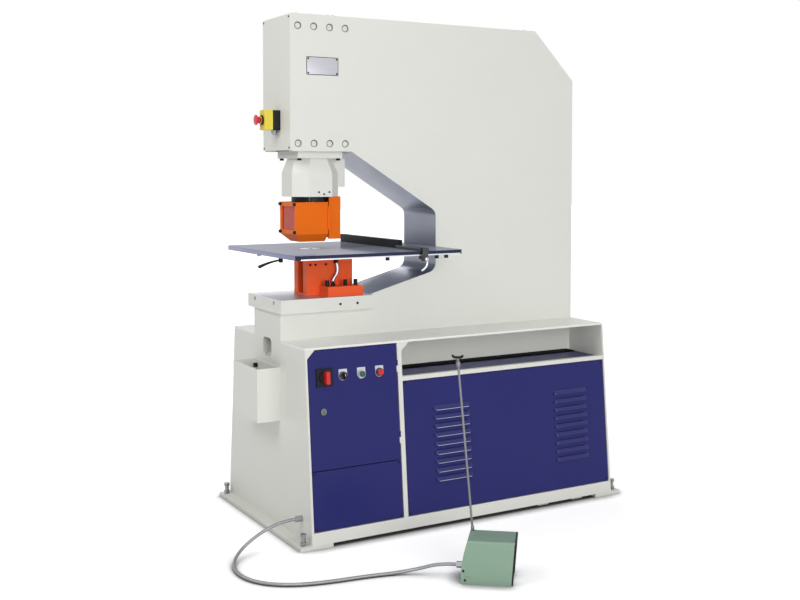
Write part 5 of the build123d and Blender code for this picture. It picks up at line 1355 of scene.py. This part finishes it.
@dataclass
class Louvres(Assembly):
    """Pressed louvre hoods with rounded cheeks, laid over the plain ones of the side panel."""

    lefts: Pair = (-0.1505, 0.4220)
    width: float = 0.146
    height: float = 0.017
    proud: float = 0.009
    foot: float = 0.15862
    pitch: float = 0.0335
    count: int = 9
    cheek: float = 0.0085
    sheet: float = 0.0006
    inset: float = 0.002
    cover: Point = (0.0005, 0.0014, 0.0009)
    drop: float = 0.0004
    bulge: float = 0.0022
    curve: float = 0.8
    lift: Pair = (0.0002, 0.0001)
    hood_sharp: float = 40.0
    cheek_rows: int = 7
    flat_rows: int = 6
    fall_rows: int = 12
    side: NearSide = field(default_factory=NearSide)
    lip_radius: float = 0.0010
    lip_proud: float = 0.0011
    lip_rows: int = 12
    lip_sharp: float = 60.0

    def hood(self) -> np.ndarray:
        """One hood in the side's own directions: along, up the slope and outwards.

        Its height over the panel falls from the lip to the top with the share t of
        the way as (1 - t) to the power 0.8, plus a bulge of sin(pi t). Past the
        hood's straight length both fall off as a quarter ellipse over the cheek.
        The inner side is the same surface one sheet lower.

        Returns:
            Points of shape (rows, around, 3).
        """
        half = self.width / 2.0 + self.cover[0]
        ends = half + self.cheek * np.sin(np.linspace(0.0, np.pi / 2.0, self.cheek_rows))
        along = np.concatenate([-ends[::-1], np.linspace(-half, half, self.flat_rows)[1:-1], ends])
        past = np.clip(np.abs(along) - half, 0.0, None) / self.cheek
        fall = np.sqrt(np.clip(1.0 - past**2, 0.0, 1.0))
        t = np.linspace(0.0, 1.0, self.fall_rows)
        up = -self.drop + (self.height + self.cover[1]) * t
        rise = ((self.proud + self.cover[2]) * (1.0 - t) ** self.curve
                + self.bulge * np.sin(np.pi * t))
        outer = np.stack([up, rise + self.lift[0]], axis=1)
        inner = np.stack([up, np.maximum(rise - self.sheet, 0.0)], axis=1)[::-1]
        loop = np.concatenate([outer, inner])
        grid = np.zeros((len(along), len(loop), 3))
        grid[:, :, 0] = along[:, None]
        grid[:, :, 1] = loop[:, 0][None, :]
        grid[:, :, 2] = loop[:, 1][None, :] * fall[:, None] + self.lift[1]
        return grid

    def lip(self) -> np.ndarray:
        """A bright lip along a hood's lower edge, a painted highlight: a thin straight bar.

        Returns:
            Points of shape (rows, around, 3).
        """
        line = np.zeros((self.lip_rows, 3))
        line[:, 0] = np.linspace(-0.5, 0.5, self.lip_rows) * self.width
        line[:, 1:] = (-self.drop, self.proud + self.lip_proud)
        return swept(line, np.full(self.lip_rows, self.lip_radius), around=8)

    def group(self, grid: np.ndarray, left: float) -> list[np.ndarray]:
        """A grid laid at each louvre of one group.

        Args:
            grid: points in the side's own directions.
            left: where the group begins.

        Returns:
            One grid for each louvre.
        """
        middle = left + self.width / 2.0
        return [self.side.placed(grid + (middle, self.foot + row * self.pitch, -self.inset))
                for row in range(self.count)]

    def build(self) -> None:
        """Lays a hood over each louvre of both groups, with a painted highlight lip on the left
        group.
        """
        hoods = [grid for left in self.lefts for grid in self.group(self.hood(), left)]
        self.shop.make("louvre_hoods", Slot.BLUE, "machine", hoods, self.hood_sharp)
        # Painted highlight: bright lips on the left group only
        lips = self.group(self.lip(), self.lefts[0])
        self.shop.make("louvre_highlight_lips", Slot.BRIGHT, "machine", lips, self.lip_sharp)


@dataclass
class Controls(Assembly):
    """Trim on the door: the isolator's black disc, the dark bezels and the selector's pointer."""

    side: NearSide = field(default_factory=NearSide)
    row: float = 0.5923
    isolator: float = -0.613
    selector: float = -0.5375
    stop: float = -0.3865
    disc_heights: Pair = (0.0062, 0.0146)
    disc_radius: float = 0.0224
    disc_chamfer: float = 0.0002
    disc_pole: float = 0.001
    bezel_radii: Pair = (0.0117, 0.0154)
    bezel_heights: Pair = (0.0002, 0.0068)
    bezel_chamfer: float = 0.001
    pointer_top: float = 0.0208
    pointer_size: Point = (0.0022, 0.0085, 0.0006)
    pointer_drop: float = 0.001
    pointer_edge: float = 0.0002

    def build(self) -> None:
        """Turns the disc and the bezels about the outward direction and lays the pointer on."""
        r, (low, top), cut = self.disc_radius, self.disc_heights, self.disc_chamfer
        profile = ((r, low), (r, top - cut), (r - cut, top), (self.disc_pole, top))
        disc = self.side.placed(turned(profile, (self.isolator, self.row, 0.0), UP, around=40))
        self.shop.make("isolator_disc", Slot.BLACK_PLASTIC, "isolator", [disc])
        ring = ring_profile(*self.bezel_radii, *self.bezel_heights, self.bezel_chamfer)
        bezels = [self.side.placed(turned(ring, (x, self.row, 0.0), UP, around=32))
                  for x in (self.selector, self.stop)]
        self.shop.make("button_bezels", Slot.BLACK_PLASTIC, "door", bezels, capped=False)
        wide, tall, thick = self.pointer_size
        foot = self.row - self.pointer_drop
        pointer = slab((self.selector - wide / 2.0, foot, self.pointer_top - thick),
                       (self.selector + wide / 2.0, foot + tall, self.pointer_top),
                       self.pointer_edge, axis=2)
        self.shop.make("selector_pointer", Slot.SILVER, "selector", [self.side.placed(pointer)])


@dataclass
class Machine(Assembly):
    """The machine's own nodes and all of its trim, the cord first."""

    parts: tuple[type, ...] = (Conduit, Head, GuardScrews, Levers, DieScrews, FootSwitch, Trim,
                               Louvres, Controls)

    def build(self, frame: dict) -> None:
        """Gives every node the material of its slot or its own, and builds the trim.

        Args:
            frame: the loaded frame.
        """
        subparts = frame["record"]["subparts"]
        by_node = {part["node"]: Slot(part["material_slot"]) for part in subparts}
        for name, node in frame["nodes"].items():
            material = self.shop.materials.get(name, self.shop.materials[by_node[name]])
            node.data.materials.clear()
            node.data.materials.append(material)
            LOG.info("node %s wears %s", name, material.name)
        for part in self.parts:
            part(self.shop).build()


# Studio


@dataclass(frozen=True)
class SoftLamp:
    """One large area lamp aimed at a point."""

    name: str
    place: Point
    target: Point
    size: float
    watts: float

    def build(self) -> None:
        """Makes the lamp and turns it to its target."""
        data = bpy.data.lights.new(self.name, "AREA")
        data.shape = "SQUARE"
        data.size = self.size
        data.energy = self.watts
        lamp = bpy.data.objects.new(self.name, data)
        x, y, z = np.array(self.target) - np.array(self.place)
        lamp.location = self.place
        lamp.rotation_euler = Euler((math.atan2(math.hypot(x, y), -z), 0.0, math.atan2(-x, y)))
        bpy.context.collection.objects.link(lamp)


@dataclass
class Studio:
    """Camera, pale floor, white surround and soft lamps."""

    camera_place: Point = (-2.3575, -3.9241, 1.3486)
    yaw: float = -29.93
    pitch: float = 2.542
    lens: float = 49.948
    sensor: float = 36.0
    shift: float = -0.10
    floor_half: float = 30.0
    floor_tones: Pair = (0.78, 0.82)
    floor_noise: Pair = (2.0, 2.0)
    floor_roughness: float = 0.9
    white_reach: Pair = (0.9, 2.4)
    near_glow: float = 0.52
    contact_reach: float = 0.06
    contact_depth: float = 2.2
    contact_samples: int = 8
    surround: float = 0.34
    lamps: tuple[SoftLamp, ...] = (
        SoftLamp("front_lamp", (-0.7, -5.8, 2.0), (0.0, 0.0, 1.0), 3.0, 144.0),
        SoftLamp("left_lamp", (-3.1, -0.7, 3.1), (-0.6, 0.0, 1.8), 1.8, 40.0),
        SoftLamp("top_lamp", (0.5, -1.0, 5.5), (0.0, 0.0, 0.8), 4.0, 10.0),
        SoftLamp("rear_lamp", (1.8, 4.6, 4.2), (0.0, 0.0, 1.1), 2.4, 62.0),
    )

    def camera(self) -> None:
        """A camera at the photograph's place."""
        data = bpy.data.cameras.new("photo_camera")
        data.lens = self.lens
        data.sensor_width = self.sensor
        data.shift_y = self.shift
        view = bpy.data.objects.new("photo_camera", data)
        view.location = self.camera_place
        tilt = math.radians(90.0 - self.pitch)
        view.rotation_euler = Euler((tilt, 0.0, math.radians(self.yaw)))
        bpy.context.collection.objects.link(view)
        bpy.context.scene.camera = view

    @staticmethod
    def _seen(wires: Wires) -> bpy.types.NodeSocket:
        """Tells rays that see a surface from those that only light it.

        Args:
            wires: the wires of a material or world.

        Returns:
            One on camera, glossy and transmission rays, nought on the rest.
        """
        path = wires.add("LightPath", {}).outputs
        mirrored = wires.math("MAXIMUM", path["Is Camera Ray"], path["Is Glossy Ray"])
        return wires.math("MAXIMUM", mirrored, path["Is Transmission Ray"])

    def world(self) -> None:
        """White where it is seen, and a plain even light elsewhere."""
        world = bpy.data.worlds.new("white_surround")
        bpy.context.scene.world = world
        world.use_nodes = True
        wires = Wires(world.node_tree)
        even = wires.fill(wires.tree.nodes["Background"],
                          {"Color": WHITE, "Strength": self.surround})
        white = wires.add("Background", {"Color": WHITE, "Strength": 1.0})
        both = wires.add("MixShader", {0: self._seen(wires), 1: even.outputs[0],
                                       2: white.outputs[0]})
        wires.fill(wires.tree.nodes["World Output"], {"Surface": both.outputs[0]})

    def floor(self) -> None:
        """A pale floor that shows white, keeps the machine's shadow and has a painted contact
        shadow round it.
        """
        h = self.floor_half
        mesh = bpy.data.meshes.new("studio_floor")
        corners = [(-h, -h, 0.0), (h, -h, 0.0), (h, h, 0.0), (-h, h, 0.0)]
        mesh.from_pydata(corners, [], [(0, 1, 2, 3)])
        piece = bpy.data.objects.new("studio_floor", mesh)
        bpy.context.collection.objects.link(piece)
        material, wires, shader, places = blank_material("pale_floor")
        place = places["Object"]
        tone = wires.span(wires.noise(place, *self.floor_noise), *self.floor_tones)
        away = wires.add("VectorMath", {0: place}, operation="LENGTH").outputs["Value"]
        reach = wires.span(away, self.near_glow, 1.0, self.white_reach, "SMOOTHSTEP")
        # Painted shadow: occlusion darkens the floor's colour and glow where it meets the machine
        near = wires.add("AmbientOcclusion", {"Distance": self.contact_reach},
                         samples=self.contact_samples)
        contact_shadow = wires.math("POWER", near.outputs["AO"], self.contact_depth)
        wires.fill(shader, {"Base Color": wires.math("MULTIPLY", tone, contact_shadow),
                            "Roughness": self.floor_roughness})
        kept = wires.math("MULTIPLY", reach, contact_shadow)
        lift = wires.math("MULTIPLY", self._seen(wires), kept)
        glow = wires.add("Emission", {"Strength": lift})
        both = wires.add("AddShader", {0: shader.outputs[0], 1: glow.outputs[0]})
        wires.fill(wires.tree.nodes["Material Output"], {"Surface": both.outputs[0]})
        piece.data.materials.append(material)

    def build(self) -> None:
        """Builds camera, surround, floor and lamps."""
        bpy.context.scene.view_settings.view_transform = "Standard"
        self.camera()
        self.world()
        self.floor()
        for lamp in self.lamps:
            lamp.build()


def main() -> None:
    """Loads the frame, builds the studio and the machine."""
    logging.basicConfig(level=logging.INFO, format="%(name)s %(message)s")
    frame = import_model()
    Studio().build()
    surfaces = Surfaces()
    materials = {slot: finish.build(surfaces) for slot, finish in FINISHES.items()}
    materials.update({node: finish.build(surfaces) for node, finish in OWN_FINISHES.items()})
    Machine(Shop(materials)).build(frame)


if __name__ == "__main__":
    main()
